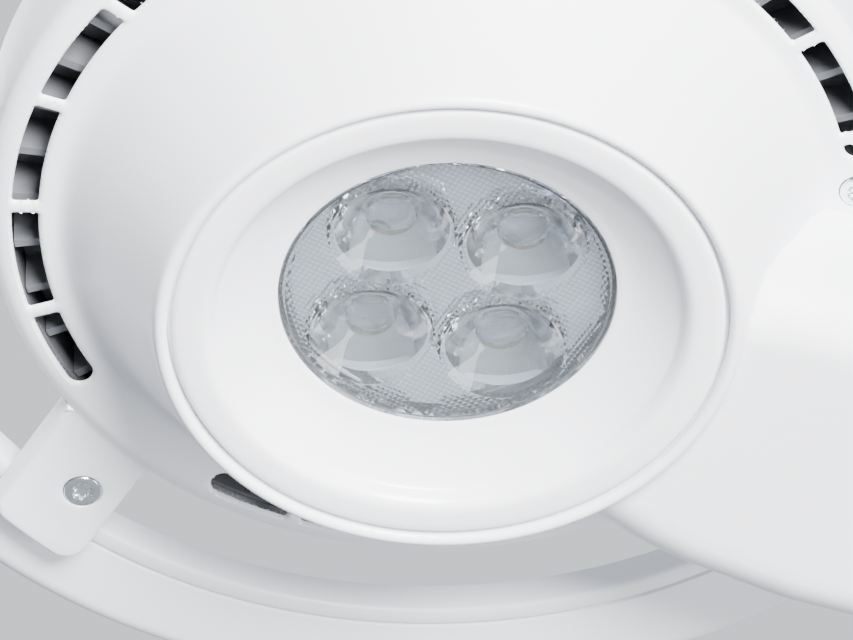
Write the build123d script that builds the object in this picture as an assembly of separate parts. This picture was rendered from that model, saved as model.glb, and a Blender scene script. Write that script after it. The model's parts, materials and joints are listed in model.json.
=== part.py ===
"""Dental operating light: lamp head, handle ring and three-axis neck joint.

The lamp axis, the neck and the three joint axes are square to each other. The lamp shines
down (-Z), the neck runs along +X from the lamp to the tilt hinge, and the swivel spigot
stands up (+Z) at the origin, which is the centre of its shoulder.

Head pieces are drawn in head coordinates: x and y from the lamp axis, h (up) from the plane of
the pod's front lip. put_head() moves them to their place.
"""
import os
from math import atan2, cos, degrees, radians, sin, sqrt

from build123d import *

os.makedirs("parts", exist_ok=True)

# ---------------------------------------------------------------- driving dimensions (mm)
# where the head hangs
HINGE_CLEAR = 23.5          # handle ring's edge to tilt hinge
YOKE_REACH = 72.0           # tilt hinge to swivel axis
HINGE_DROP = 45.0           # swivel spigot shoulder down to the tilt and roll axes
HINGE_H = 20.0              # tilt hinge behind the pod lip
WALL = 2.4                  # moulded covers
FIT = 0.15                  # gap between fixed pieces that slide together
RUN = 0.05                  # radial running clearance of a shaft
MOVE = 0.4                  # gap between pieces that move past each other

# optics
LENS_R = 24.8               # lens panel
LENS_H = 7.8                # panel face behind the pod lip
LENS_T = 3.0
LENS_COUNT = 4
LENS_PCD_R = 13.9
LENS_TURN = 23.5            # first lens, from the neck axis
APERTURE_R = 9.2
PIT_R = 3.65
PIT_DEPTH = 4.7
CONE_BACK_R = 4.9
CONE_H = 20.3               # back of the lens cones
LED_SIDE = 3.5
LED_BASE_T = 0.8
LED_DOME_R = 1.55

# bezel
FUNNEL_W = 9.25             # sloping floor round the lens panel
FUNNEL_H = 2.9
BEZEL_W = 6.7               # roll and face outside the funnel
BEZEL_FACE_H = 0.4
BEZEL_T = 2.0

# front cover: lip, slope, flange and disc wall
SEAM_GAP = 0.45
LIP_W = 2.0
SLOPE_W = 14.25
FLANGE_H = 25.4
DISC_WALL_H = 17.6          # flange to the disc's back edge
EDGE_R = 1.6

# cooling slots in the flange
SLOT_INSET = 2.6            # slope's foot to the slots
SLOT_W = 4.0
SLOT_MARGIN = 3.5           # slots to the disc's edge
RIB_W = 2.3
FAR_RIB_PITCH = 18.7
FAR_RIBS = 6
FAR_END = 61.0              # half-angle of the far run of slots
SIDE_START = 40.0           # side runs of slots, from the neck axis
SIDE_END = 93.5
SIDE_RIBS = (43.5, 61.9, 80.2)

# tabs that carry the handle ring
TAB_X = -21.2
TAB_W = 16.6
TAB_LAP = 5.5               # tab over the handle ring
TAB_T = 5.8
TAB_CORNER_R = 3.5
TAB_SCREW_X = -19.3
TAB_SCREW_OUT = 7.1         # beyond the disc's edge

# handle ring
GRIP_GAP = 16.8             # disc to handle ring
CARRIER_W = 3.1
GRIP_W = 13.9
RING_BEHIND = 6.1           # flange to the ring's front
RING_T = 5.8
GRIP_T = 7.5

# neck
NECK_ROOT_X = 34.0
NECK_ROOT_W = 29.6          # half-width over the disc
NECK_TIP_W = 26.6           # half-width over the handle ring
NECK_SCREW_SIDE = 5.0       # screw beside the neck
NECK_ROOT_H = 2.6
NECK_TIP_H = 6.0
NECK_BEHIND = 5.2           # flange to the neck's back
BARREL_R = 17.0
BARREL_HALF = 20.0
AXLE_R = 7.0
BUSH_T = 2.5

# yoke, elbow and spigot
FORK_T = 8.0
FORK_R = 16.0
WASHER_T = 1.0
YOKE_BASE_X = 24.0          # tilt hinge to the yoke's cross-bar
YOKE_BASE_T = 8.0
ROLL_R = 7.0
ELBOW_R = 19.0
ELBOW_BACK = 20.0
HUB_R = 18.0
SPIGOT_R = 8.0
SPIGOT_UP = 32.0
SPIGOT_DOWN = 28.4
COLLAR_R = 14.0
COLLAR_T = 3.0

# neck frame
BEAM_X0 = 36.0
BEAM_HALF = 15.0
BEAM_BEHIND = 1.1           # flange to the beam's back

# heat sink and driver
SINK_FINS = 44
FIN_T = 1.3
SINK_BEHIND = 10.6          # flange to the heat sink's plate
SINK_BASE_T = 3.0
DRIVER_HALF = (30.0, 21.0)
DRIVER_X = -8.0
DRIVER_LIFT = 4.0
BOARD_R = 28.0
BOARD_T = 1.6

# rear cover
REAR_BEHIND = 31.6          # flange to the rear cover's back
REAR_VENTS = 24

# roll and swivel bearings
NUT_T = 5.0
CAP_T = 2.0
HUB_H = 24.0
CAVITY_R = 15.0
CAVITY_X0 = -14.0
ROLL_NUT_X = 8.4

# leads
LEAD_R = 1.3
LED_LEAD_X = -23.4
NOTCH_DEPTH = 10.5
NOTCH_HALF = 7.5
CONNECTOR_BACK = 28.0       # from the tilt hinge
SWITCH_T = 3.6

# screws
M3_R = 1.5
M3_HEAD_R = 2.85
M3_HEAD_T = 1.8
TORX_R = 1.4
M3_TAP_R = M3_R + 0.03     # threaded hole

# push button in the rear cover
BUTTON_X = 44.0
BUTTON_R = 6.0
BUTTON_PROUD = 1.6
BUTTON_TRAVEL = 1.0

# ---------------------------------------------------------------- helpers
UP = (Align.CENTER, Align.CENTER, Align.MIN)


def cyl(r, h0, h1, x=0.0, y=0.0):
    """Upright cylinder from h0 to h1."""
    return Pos(x, y, h0) * Cylinder(r, h1 - h0, align=UP)


def tube(r_out, r_in, h0, h1, x=0.0, y=0.0):
    return cyl(r_out, h0, h1, x, y) - cyl(r_in, h0 - 1, h1 + 1, x, y)


def cone(r0, r1, h0, h1, x=0.0, y=0.0):
    return Pos(x, y, h0) * Cone(r0, r1, h1 - h0, align=UP)


def block(x0, x1, y0, y1, h0, h1):
    return Pos((x0 + x1) / 2, (y0 + y1) / 2, (h0 + h1) / 2) * Box(x1 - x0, y1 - y0, h1 - h0)


def along_y(r, y0, y1, x=0.0, h=0.0):
    """Cylinder along Y from y0 to y1."""
    return Pos(x, y0, h) * Rot(-90, 0, 0) * Cylinder(r, y1 - y0, align=UP)


def along_x(r, x0, x1, h=0.0):
    """Cylinder along X from x0 to x1."""
    return Pos(x0, 0, h) * Rot(0, 90, 0) * Cylinder(r, x1 - x0, align=UP)


def turned(*edges):
    """Solid of revolution about the lamp axis from an outline in radius and height."""
    return revolve(Plane.XZ * make_face(edges), Axis.Z)


def polar(radius, angle):
    return radius * cos(radians(angle)), radius * sin(radians(angle))


def put_head(shape):
    return Pos(-YOKE_REACH - neck_reach, 0, -HINGE_DROP - HINGE_H) * shape


def put_hinge(shape):
    """From hinge coordinates, with x and y from the tilt axis, h from its height."""
    return Pos(-YOKE_REACH, 0, -HINGE_DROP) * shape


def save(name, *shapes):
    solids = [solid for shape in shapes for solid in shape.solids()]
    export_step(Compound(children=solids), f"parts/{name}.step")


def countersunk(x, y, h, length):
    """Countersunk Torx screw whose flat head is at height h, seen from the front."""
    head = cone(M3_HEAD_R, M3_R, 0, M3_HEAD_T)
    shank = cyl(M3_R, M3_HEAD_T, length)
    socket = cyl(TORX_R * 0.8, -1, 1.2)
    for k in range(3):
        socket += Rot(0, 0, 60 * k) * block(-TORX_R, TORX_R, -0.42, 0.42, -1, 1.2)
    screw = head + shank - socket
    return Pos(x, y, h) * screw


def countersink(x, y, h, depth):
    """Hole for a countersunk screw seen from the front."""
    hole = cone(M3_HEAD_R + 0.1, M3_R + FIT, h, h + M3_HEAD_T)
    return Pos(x, y, 0) * (hole + cyl(M3_R + FIT, h - 0.01, h + depth))


# ---------------------------------------------------------------- places worked out from the sizes
bezel_in_r = LENS_R + FIT
funnel_r = LENS_R + FIT + FUNNEL_W
bezel_r = funnel_r + BEZEL_W
lip_in_r = bezel_r + SEAM_GAP
lip_out_r = lip_in_r + LIP_W
foot_r = lip_out_r + SLOPE_W
slot_in_r = foot_r + SLOT_INSET
slot_out_r = slot_in_r + SLOT_W
slot_mid_r = (slot_in_r + slot_out_r) / 2
disc_r = slot_out_r + SLOT_MARGIN
ring_in_r = disc_r + GRIP_GAP
ring_step_r = ring_in_r + CARRIER_W
ring_out_r = ring_step_r + GRIP_W
tab_end_r = ring_in_r + TAB_LAP
neck_reach = ring_out_r + HINGE_CLEAR
neck_end_x = neck_reach - BARREL_R - MOVE
neck_end_w = BARREL_HALF - MOVE

disc_back_h = FLANGE_H + DISC_WALL_H
ring_h = FLANGE_H + RING_BEHIND
neck_back_h = FLANGE_H + NECK_BEHIND
beam_top_h = FLANGE_H + BEAM_BEHIND
sink_base_h = FLANGE_H + SINK_BEHIND
rear_top_h = FLANGE_H + REAR_BEHIND
sink_top_h = sink_base_h + SINK_BASE_T
driver_h = sink_top_h + DRIVER_LIFT
driver_top_h = driver_h + BOARD_T
switch_top = driver_top_h + SWITCH_T

lens_places = [polar(LENS_PCD_R, LENS_TURN + 360 / LENS_COUNT * k) for k in range(LENS_COUNT)]
led_board_h = CONE_H + 0.7
pedestal_h = led_board_h + BOARD_T + 0.5
pedestal_r = BOARD_R + 4.0
sink_r = disc_r - WALL - 1.0
shelf_h = 11.0
beam_h0 = shelf_h + WALL + 0.8
channel_h = beam_h0 + 4.0
connector_x = neck_reach - CONNECTOR_BACK

tab_screw = (TAB_SCREW_X, disc_r + TAB_SCREW_OUT)
neck_screw_y = NECK_ROOT_W + NECK_SCREW_SIDE
neck_screw = (sqrt((slot_mid_r - 0.5) ** 2 - neck_screw_y ** 2), neck_screw_y)
cover_screw_places = [(x, s * y) for x, y in (tab_screw, neck_screw) for s in (-1, 1)]
board_screw_places = [polar(BOARD_R - 4.0, LENS_TURN + 45 + 180 * k) for k in range(2)]
frame_screw_places = [(BEAM_X0 + dx, y) for dx in (4.0, 18.0) for y in (-13.0, 13.0)]
driver_posts = [(DRIVER_X + sx * 26, sy * 17) for sx in (-1, 1) for sy in (-1, 1)]
# between fins, in whole fin pitches from the neck axis
rear_screw_places = [polar(disc_r - 19.7, 360 / SINK_FINS * k) for k in (9, 17, 27, 35)]
ring_screw_places = [(ring_in_r - 6.0, s * (BEAM_HALF + 4.9)) for s in (-1, 1)]

fork_in = BARREL_HALF + WASHER_T + 0.1
fork_out = fork_in + FORK_T
yoke_face_x = YOKE_BASE_X + YOKE_BASE_T + 3.0
elbow_front_x = yoke_face_x + WASHER_T + 0.1
hub_top = -COLLAR_T - WASHER_T - 0.1
hub_low = hub_top - HUB_H
bearing_r = SPIGOT_R + RUN + BUSH_T
roll_bearing_r = ROLL_R + RUN + BUSH_T


# ---------------------------------------------------------------- optics
def make_lens_cluster():
    panel = cyl(LENS_R, LENS_H, LENS_H + LENS_T)
    for x, y in lens_places:
        panel += cone(APERTURE_R, CONE_BACK_R, LENS_H + LENS_T - 0.5, CONE_H, x, y)
    for x, y in lens_places:
        panel -= cone(APERTURE_R, PIT_R, LENS_H, LENS_H + PIT_DEPTH, x, y)
        panel -= cyl(PIT_R, LENS_H + PIT_DEPTH + 1.5, CONE_H + 1, x, y)
    return panel


def make_lens_holder():
    plate_h = LENS_H + LENS_T + 1.0
    holder = cyl(pedestal_r - 1.5, plate_h, plate_h + 2)
    holder += tube(pedestal_r - 1.5, BOARD_R + 0.5, plate_h, pedestal_h)
    for x, y in lens_places:
        holder -= cyl(APERTURE_R + FIT, plate_h - 1, plate_h + 3, x, y)
    return holder


def make_lens_seal():
    return tube(LENS_R, LENS_R - 1.0, LENS_H + LENS_T, LENS_H + LENS_T + 1.0)


def make_bezel():
    back_h = LENS_H + LENS_T
    floor_mid_r = bezel_in_r + 0.56 * FUNNEL_W
    roll_r = funnel_r + 2.3
    return turned(
        ThreePointArc((bezel_in_r, LENS_H + 0.2), (floor_mid_r, LENS_H - 2.0), (funnel_r, FUNNEL_H)),
        ThreePointArc((funnel_r, FUNNEL_H), (funnel_r + 0.7, BEZEL_FACE_H + 0.7), (roll_r, BEZEL_FACE_H)),
        Polyline((roll_r, BEZEL_FACE_H), (bezel_r - 0.6, BEZEL_FACE_H), (bezel_r, BEZEL_FACE_H + 0.6),
                 (bezel_r, shelf_h), (bezel_r - BEZEL_T, shelf_h), (bezel_r - BEZEL_T, BEZEL_FACE_H + 3.4),
                 (funnel_r + 2.0, FUNNEL_H + 2.2), (floor_mid_r, LENS_H + 0.6),
                 (bezel_in_r + 1.6, back_h), (bezel_in_r, back_h), (bezel_in_r, LENS_H + 0.2)),
    )


# ---------------------------------------------------------------- light engine
def make_led_emitters():
    dies = []
    for x, y in lens_places:
        base = Pos(x, y, led_board_h - LED_BASE_T / 2) * Rot(0, 0, LENS_TURN)
        base *= Box(LED_SIDE, LED_SIDE, LED_BASE_T)
        dome = Pos(x, y, led_board_h - LED_BASE_T) * Sphere(LED_DOME_R)
        dome -= cyl(3, led_board_h - LED_BASE_T, led_board_h + 3, x, y)
        dies.append(base + dome)
    return dies


def make_led_board():
    board = cyl(BOARD_R, led_board_h, led_board_h + BOARD_T)
    for x, y in board_screw_places:
        board -= cyl(M3_R + FIT, led_board_h - 1, led_board_h + 3, x, y)
    return board


def make_thermal_pad():
    pad = cyl(BOARD_R - 1, led_board_h + BOARD_T, pedestal_h)
    for x, y in board_screw_places:
        pad -= cyl(M3_R + 0.5, led_board_h, pedestal_h + 1, x, y)
    return pad - cyl(LEAD_R + 0.9, led_board_h, pedestal_h + 1, LED_LEAD_X, 0)


def make_heat_sink():
    sink = cyl(pedestal_r, pedestal_h, sink_base_h)
    sink += cyl(sink_r, sink_base_h, sink_top_h)
    fin = block(pedestal_r - 1, sink_r, -FIN_T / 2, FIN_T / 2, FLANGE_H + WALL + 1.0, sink_base_h)
    fins = []
    for k in range(SINK_FINS):
        angle = 360 / SINK_FINS * (k + 0.5)
        if 40 < angle < 320:
            fins.append(Rot(0, 0, angle) * fin)
    sink = sink + fins
    for x, y in board_screw_places:
        sink -= cyl(M3_TAP_R, pedestal_h - 1, pedestal_h + 8, x, y)
    for x, y in frame_screw_places:
        sink -= cyl(M3_R + FIT, sink_base_h - 1, sink_base_h + 5, x, y)
    for x, y in driver_posts:
        sink -= cyl(M3_TAP_R, sink_base_h - 1, sink_base_h + 5, x, y)
    for x, y in rear_screw_places:
        sink -= cyl(M3_R + FIT, sink_base_h - 1, sink_base_h + 5, x, y)
    sink -= block(disc_r - NOTCH_DEPTH, disc_r, -NOTCH_HALF, NOTCH_HALF, sink_base_h - 1, sink_base_h + 5)
    return sink - cyl(LEAD_R + 0.9, pedestal_h - 1, sink_base_h + 5, LED_LEAD_X, 0)


def make_driver_posts():
    return [tube(2.8, M3_R + FIT, sink_top_h, driver_h, x, y) for x, y in driver_posts]


def make_driver_board():
    hx, hy = DRIVER_HALF
    board = block(DRIVER_X - hx, BUTTON_X + 6.5, -hy, hy, driver_h, driver_top_h)
    board -= block(DRIVER_X + hx, BUTTON_X + 9, 9, hy + 1, driver_h - 1, driver_h + 3)
    board -= block(DRIVER_X + hx, BUTTON_X + 9, -hy - 1, -9, driver_h - 1, driver_h + 3)
    for x, y in driver_posts:
        board -= cyl(M3_R + FIT, driver_h - 1, driver_h + 3, x, y)
    return board


def make_driver_parts():
    top = driver_top_h
    coil = cyl(6.0, top, top + 5.0, DRIVER_X - 12, 5)
    cans = [cyl(3.0, top, top + 5.6, DRIVER_X + 4 + 7.5 * k, -10) for k in range(2)]
    chip = block(DRIVER_X - 1, DRIVER_X + 7, 4, 11, top, top + 1.4)
    plug = block(DRIVER_X + 13, DRIVER_X + 20, 3, 12, top, top + 4.5)
    return [coil, *cans, chip, plug]


# ---------------------------------------------------------------- front cover
def make_dome():
    """Lip, slope, flange and disc wall, with the shelf that the bezel sits on."""
    slope_top = (lip_out_r + 0.3, 2.2)
    slope_mid = (lip_out_r + 0.52 * SLOPE_W, 0.64 * FLANGE_H)
    inner_mid = (lip_out_r + 0.35 * SLOPE_W, 0.64 * FLANGE_H + 1.2)
    flange_in = (foot_r, FLANGE_H)
    t = WALL
    outline = [
        ThreePointArc((lip_in_r, 1.0), ((lip_in_r + lip_out_r) / 2, 0.0), slope_top),
        Spline(slope_top, slope_mid, flange_in, tangents=((0.42, 1.0), (1.0, 0.12))),
        Line(flange_in, (disc_r - EDGE_R, FLANGE_H)),
        ThreePointArc((disc_r - EDGE_R, FLANGE_H), (disc_r - 0.3 * EDGE_R, FLANGE_H + 0.3 * EDGE_R),
                      (disc_r, FLANGE_H + EDGE_R)),
        Polyline((disc_r, FLANGE_H + EDGE_R), (disc_r, disc_back_h), (disc_r - t, disc_back_h),
                 (disc_r - t, FLANGE_H + t), (foot_r - 0.8, FLANGE_H + t)),
        Spline((foot_r - 0.8, FLANGE_H + t), inner_mid, (lip_out_r - 0.2, shelf_h + t),
               tangents=((-1.0, -0.12), (-0.42, -1.0))),
        Polyline((lip_out_r - 0.2, shelf_h + t), (lip_in_r - 5.0, shelf_h + t), (lip_in_r - 5.0, shelf_h),
                 (lip_in_r, shelf_h), (lip_in_r, 1.0)),
    ]
    return turned(*outline)


def neck_outline(inset=0.0):
    """Plan outline of the neck: tapers over the disc and ring, then narrows between the fork arms."""
    end_x = neck_end_x - inset
    half = [(NECK_ROOT_X, NECK_ROOT_W - inset), (disc_r - 5.7, NECK_ROOT_W - 1.2 - inset),
            (ring_out_r, NECK_TIP_W - inset), (end_x - 1.5, neck_end_w + 1.6 - inset),
            (end_x, neck_end_w - 1.2 - inset)]
    mirrored = [(x, -y) for x, y in reversed(half)]
    return make_face(Polyline(*half, *mirrored, half[0]))


def neck_front_h(x):
    share = (x - NECK_ROOT_X) / (ring_out_r - NECK_ROOT_X)
    return NECK_ROOT_H + (NECK_TIP_H - NECK_ROOT_H) * share


def neck_body(inset=0.0):
    """Closed neck shape, its front face sloping back towards the hinge."""
    face = Pos(0, 0, -5) * neck_outline(inset)
    body = extrude(face, neck_back_h + 5 + (10.0 if inset else 0.0), dir=(0, 0, 1))
    slope = degrees(atan2(NECK_TIP_H - NECK_ROOT_H, ring_out_r - NECK_ROOT_X))
    front = neck_front_h(0) + inset
    body -= Pos(0, 0, front) * Rot(0, -slope, 0) * Pos(100, 0, -20) * Box(300, 200, 40)
    return body


def tab(side):
    """Flat tab from the flange out over the handle ring, with its end on a circle about the lamp axis."""
    plate = block(TAB_X - TAB_W / 2, TAB_X + TAB_W / 2, foot_r - 8, ring_out_r, FLANGE_H, FLANGE_H + TAB_T)
    plate &= cyl(tab_end_r, 0, 60) - cyl(disc_r - WALL, -1, 61)
    corners = plate.edges().filter_by(Axis.Z).sort_by(Axis.Y)[-2:]
    plate = fillet(corners, TAB_CORNER_R)
    plate -= tab_pocket(0.0)
    plate = chamfer(plate.faces().sort_by(Axis.Z)[0].outer_wire().edges().sort_by(Axis.Y)[1:], 0.6)
    return plate if side > 0 else mirror(plate, Plane.XZ)


def tab_pocket(gap):
    """Space under the tab for the handle ring's lug, smaller by gap all round for the lug itself."""
    wall = 2.4 + gap
    return block(TAB_X - TAB_W / 2 + wall, TAB_X + TAB_W / 2 - wall, disc_r + 1.0 + gap, tab_end_r - 8.0 - gap,
                 FLANGE_H + 2.8 + gap, FLANGE_H + TAB_T + 1)


def slot_ring():
    """All cooling slots: three runs of slots between rounded ends, with ribs left standing."""
    half_w = SLOT_W / 2
    h0, h1 = FLANGE_H - 3, FLANGE_H + WALL + 1
    far_ribs = [180 + FAR_RIB_PITCH * (k - (FAR_RIBS - 1) / 2) for k in range(FAR_RIBS)]
    runs = [(180 - FAR_END, 180 + FAR_END, far_ribs),
            (SIDE_START, SIDE_END, SIDE_RIBS),
            (-SIDE_END, -SIDE_START, [-a for a in SIDE_RIBS])]
    cutter = []
    for start, end, ribs in runs:
        trim = degrees(half_w / slot_mid_r)
        a0, a1 = start + trim, end - trim
        ring_face = make_face([
            CenterArc((0, 0), slot_out_r, a0, a1 - a0),
            Line(polar(slot_out_r, a1), polar(slot_in_r, a1)),
            CenterArc((0, 0), slot_in_r, a0, a1 - a0),
            Line(polar(slot_in_r, a0), polar(slot_out_r, a0)),
        ])
        run = Pos(0, 0, h0) * extrude(ring_face, h1 - h0, dir=(0, 0, 1))
        for a in (a0, a1):
            run += cyl(half_w, h0, h1, *polar(slot_mid_r, a))
        for a in ribs:
            run -= Rot(0, 0, a) * block(slot_in_r - 5, slot_out_r + 5, -RIB_W / 2, RIB_W / 2, h0 - 1, h1 + 1)
        cutter.append(run)
    return cutter


def make_front_cover():
    dome = make_dome()
    outside = neck_body()
    inside = neck_body(WALL)
    open_back = cyl(disc_r - WALL, FLANGE_H + WALL, 60)
    well = cyl(lip_in_r + LIP_W, -10, 60)
    neck = outside - inside - well - open_back
    neck_room = (inside - cyl(lip_out_r - 0.3, -10, 60)) & cyl(disc_r + 1, -10, FLANGE_H + WALL + 0.4)
    cover = (dome - neck_room) + neck
    cover -= block(ring_out_r - 8, neck_reach, -BEAM_HALF - FIT, BEAM_HALF + FIT, beam_h0 - FIT, neck_back_h + 1)
    cover -= along_y(BARREL_R + MOVE, -BARREL_HALF - 1, BARREL_HALF + 1, neck_reach, HINGE_H)
    cover += tab(1)
    cover += tab(-1)
    for x, y in cover_screw_places[2:]:
        cover += cyl(M3_HEAD_R + 1.6, FLANGE_H, FLANGE_H + 8, x, y)
    for x, y in cover_screw_places:
        cover -= countersink(x, y, FLANGE_H, 12)
    for run in slot_ring():
        cover -= run
    return cover


# ---------------------------------------------------------------- rear covers
def make_rear_cover():
    t = WALL
    rim = disc_r - 0.2
    top_r = disc_r - 15.7
    seat = disc_r - t - FIT
    shell = turned(
        Polyline((0, rear_top_h), (top_r - 14, rear_top_h - 0.8)),
        ThreePointArc((top_r - 14, rear_top_h - 0.8), (top_r + 3.5, rear_top_h - 4.4), (rim, disc_back_h + 1.4)),
        Polyline((rim, disc_back_h + 1.4), (rim, disc_back_h), (seat, disc_back_h), (seat, disc_back_h - 2.5),
                 (seat - 1.6, disc_back_h - 2.5), (seat - 1.6, disc_back_h + 1.2)),
        ThreePointArc((seat - 1.6, disc_back_h + 1.2), (top_r + 1.4, rear_top_h - 6.4),
                      (top_r - 15, rear_top_h - 0.8 - t)),
        Polyline((top_r - 15, rear_top_h - 0.8 - t), (0, rear_top_h - t), (0, rear_top_h)),
    )
    slot = block(top_r - 9, top_r + 3, -1.6, 1.6, sink_top_h, rear_top_h + 5)
    slot = fillet(slot.edges().filter_by(Axis.Z), 1.5)
    for k in range(REAR_VENTS):
        angle = 360 / REAR_VENTS * (k + 0.5)
        if 30 < angle < 330:
            shell -= Rot(0, 0, angle) * slot
    shell += cyl(BUTTON_R + 3.0, rear_top_h - 5.5, rear_top_h - 1.0, BUTTON_X, 0)
    shell -= cyl(BUTTON_R + MOVE, 30, 70, BUTTON_X, 0)
    for x, y in rear_screw_places:
        shell += cyl(3.4, sink_top_h, rear_top_h - 4, x, y)
        shell -= cyl(M3_TAP_R, 30, rear_top_h - 6, x, y)
    return shell


def make_neck_back():
    """Lid of the neck, inside its walls, with two posts for the handle ring's screws."""
    lid = Pos(0, 0, neck_back_h - WALL) * extrude(neck_outline(WALL + FIT), WALL, dir=(0, 0, 1))
    lid -= cyl(disc_r + FIT, 0, 60)
    for x, y in ring_screw_places:
        lid += cyl(4.0, neck_back_h - 9, ring_h, x, y)
        lid -= cyl(M3_TAP_R, 0, 60, x, y)
    return lid


# ---------------------------------------------------------------- handle ring
def make_ring_carrier():
    """Inner ring with lugs under the tabs and ears behind the neck."""
    carrier = tube(ring_step_r, ring_in_r, ring_h, ring_h + RING_T)
    reach = disc_r + 0.4
    for side in (1, -1):
        arm = block(TAB_X - TAB_W / 2, TAB_X + TAB_W / 2, foot_r, ring_step_r, ring_h, ring_h + RING_T)
        arm &= cyl(ring_step_r - 1, 0, 60) - cyl(reach, -1, 61)
        post = tab_pocket(FIT) & block(-50, 50, foot_r, ring_out_r, 0, ring_h + 1)
        lug = arm + post - cyl(M3_TAP_R, 0, 60, *tab_screw)
        carrier += lug if side > 0 else mirror(lug, Plane.XZ)
    for x, y in ring_screw_places:
        ear = cyl(4.6, ring_h, ring_h + RING_T, x, y)
        ear += block(x, ring_step_r, y - 4.6, y + 4.6, ring_h, ring_h + RING_T)
        carrier += ear & cyl(ring_step_r - 0.5, 0, 60)
        carrier -= cyl(M3_R + FIT, 0, 60, x, y)
    return carrier


def make_handle_ring():
    """Outer grip ring with a well-rounded outer edge."""
    r0 = ring_step_r + FIT
    h0 = ring_h
    h1 = h0 + GRIP_T
    r = GRIP_T / 2
    return turned(
        Polyline((ring_out_r - r, h0), (r0 + 0.4, h0), (r0, h0 + 0.4), (r0, h1 - 0.4), (r0 + 0.4, h1),
                 (ring_out_r - r, h1)),
        ThreePointArc((ring_out_r - r, h1), (ring_out_r, (h0 + h1) / 2), (ring_out_r - r, h0)),
    )


# ---------------------------------------------------------------- neck frame and tilt hinge
def make_neck_frame():
    """Cast beam from the heat sink to the hinge barrel."""
    h0, h1 = beam_h0, beam_top_h
    beam = block(BEAM_X0, neck_reach - 6, -BEAM_HALF, BEAM_HALF, h0, h1)
    beam = fillet(beam.edges().filter_by(Axis.X), 3.0)
    pad = block(BEAM_X0, BEAM_X0 + 22.0, -BEAM_HALF - 2, BEAM_HALF + 2, h0 + 4, sink_base_h)
    barrel = along_y(BARREL_R, -BARREL_HALF, BARREL_HALF, neck_reach, HINGE_H)
    frame = beam + pad + barrel
    frame -= along_y(AXLE_R + RUN + BUSH_T, -30, 30, neck_reach, HINGE_H)
    for x, y in frame_screw_places:
        frame -= cyl(M3_TAP_R, sink_base_h - 9, sink_base_h + 1, x, y)
    frame -= block(BEAM_X0 + 26.0, neck_reach - BARREL_R - 4, -11, 11, channel_h, h1 + 1)
    return frame


def hinge_bushes():
    """Plain bushes in the barrel, one at each end."""
    bushes = []
    for side in (-1, 1):
        y0, y1 = sorted((side * BARREL_HALF, side * (BARREL_HALF - 14)))
        bush = along_y(AXLE_R + RUN + BUSH_T, y0, y1) - along_y(AXLE_R + RUN, y0 - 1, y1 + 1)
        bushes.append(bush)
    return bushes


def friction_washers():
    washers = []
    for side in (-1, 1):
        y0, y1 = sorted((side * (fork_in - WASHER_T), side * fork_in))
        washers.append(along_y(13.0, y0, y1) - along_y(AXLE_R + FIT, y0 - 1, y1 + 1))
    return washers


def make_yoke():
    """Fork, cross-bar and the roll shaft that turns in the elbow."""
    yoke = None
    for side in (-1, 1):
        y0, y1 = sorted((side * fork_in, side * fork_out))
        arm = along_y(FORK_R, y0, y1)
        arm += block(0, YOKE_BASE_X + 2, y0, y1, -FORK_R + 2, FORK_R - 2)
        yoke = arm if yoke is None else yoke + arm
    bar = block(YOKE_BASE_X, YOKE_BASE_X + YOKE_BASE_T, -fork_out, fork_out, -FORK_R + 2, FORK_R - 2)
    yoke += fillet(bar.edges().filter_by(Axis.Z).sort_by(Axis.X)[-2:], 6.0)
    yoke += along_x(ELBOW_R - 1, YOKE_BASE_X + 2, yoke_face_x)
    shaft_end = YOKE_REACH + 13.0
    yoke += along_x(ROLL_R, yoke_face_x - 1, shaft_end)
    yoke -= along_y(AXLE_R + FIT, -40, 40)
    for side in (-1, 1):
        y0, y1 = sorted((side * (fork_out - NUT_T), side * (fork_out + 1)))
        yoke -= along_y(12.5, y0, y1)
    return yoke


def make_axle():
    """Headed axle, its head in one fork arm's recess."""
    axle = along_y(AXLE_R, -fork_out + 0.5, fork_out - NUT_T + 4.0)
    return axle + along_y(11.0, -fork_out + NUT_T - 4.0, -fork_out + NUT_T)


def hex_nut(across, thickness, bore):
    nut = extrude(RegularPolygon(across / 2, 6, major_radius=False), thickness)
    return nut - cyl(bore, -1, thickness + 1)


def make_axle_nut():
    y0 = fork_out - NUT_T
    nut = hex_nut(19.0, 3.8, AXLE_R)
    return Pos(0, y0, 0) * Rot(-90, 0, 0) * nut


def axle_caps():
    caps = []
    for side in (-1, 1):
        y0, y1 = sorted((side * fork_out, side * (fork_out + CAP_T)))
        cap = along_y(14.0, y0, y1)
        edge = cap.edges().sort_by(Axis.Y)
        cap = fillet(edge[-1] if side > 0 else edge[0], 1.4)
        z0, z1 = sorted((side * (fork_out - 0.9), side * fork_out))
        cap += along_y(12.4, z0, z1) - along_y(11.4, z0 - 1, z1 + 1)
        caps.append(cap)
    return caps


# ---------------------------------------------------------------- elbow, roll and swivel bearings
def make_elbow():
    """Upright hub for the spigot over a level barrel for the yoke's shaft. World coordinates."""
    axis_h = -HINGE_DROP
    front = -YOKE_REACH + elbow_front_x
    body = along_x(ELBOW_R, front, ELBOW_BACK, axis_h)
    body += cyl(HUB_R, axis_h, hub_top)
    body -= cyl(bearing_r, hub_low, 1)
    body -= cyl(12.6, axis_h, hub_low)
    body -= along_x(roll_bearing_r, front - 1, CAVITY_X0 + 1, axis_h)
    body -= along_x(CAVITY_R, CAVITY_X0, ELBOW_BACK + 1, axis_h)
    return body


def roll_bushes():
    axis_h = -HINGE_DROP
    front = -YOKE_REACH + elbow_front_x
    bushes = []
    for x0, x1 in ((front, front + 9), (CAVITY_X0 - 9, CAVITY_X0)):
        bushes.append(along_x(roll_bearing_r, x0, x1, axis_h) - along_x(ROLL_R + RUN, x0 - 1, x1 + 1, axis_h))
    return bushes


def swivel_bushes():
    return [tube(bearing_r, SPIGOT_R + RUN, h - 9, h) for h in (hub_top, hub_low + 9)]


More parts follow.
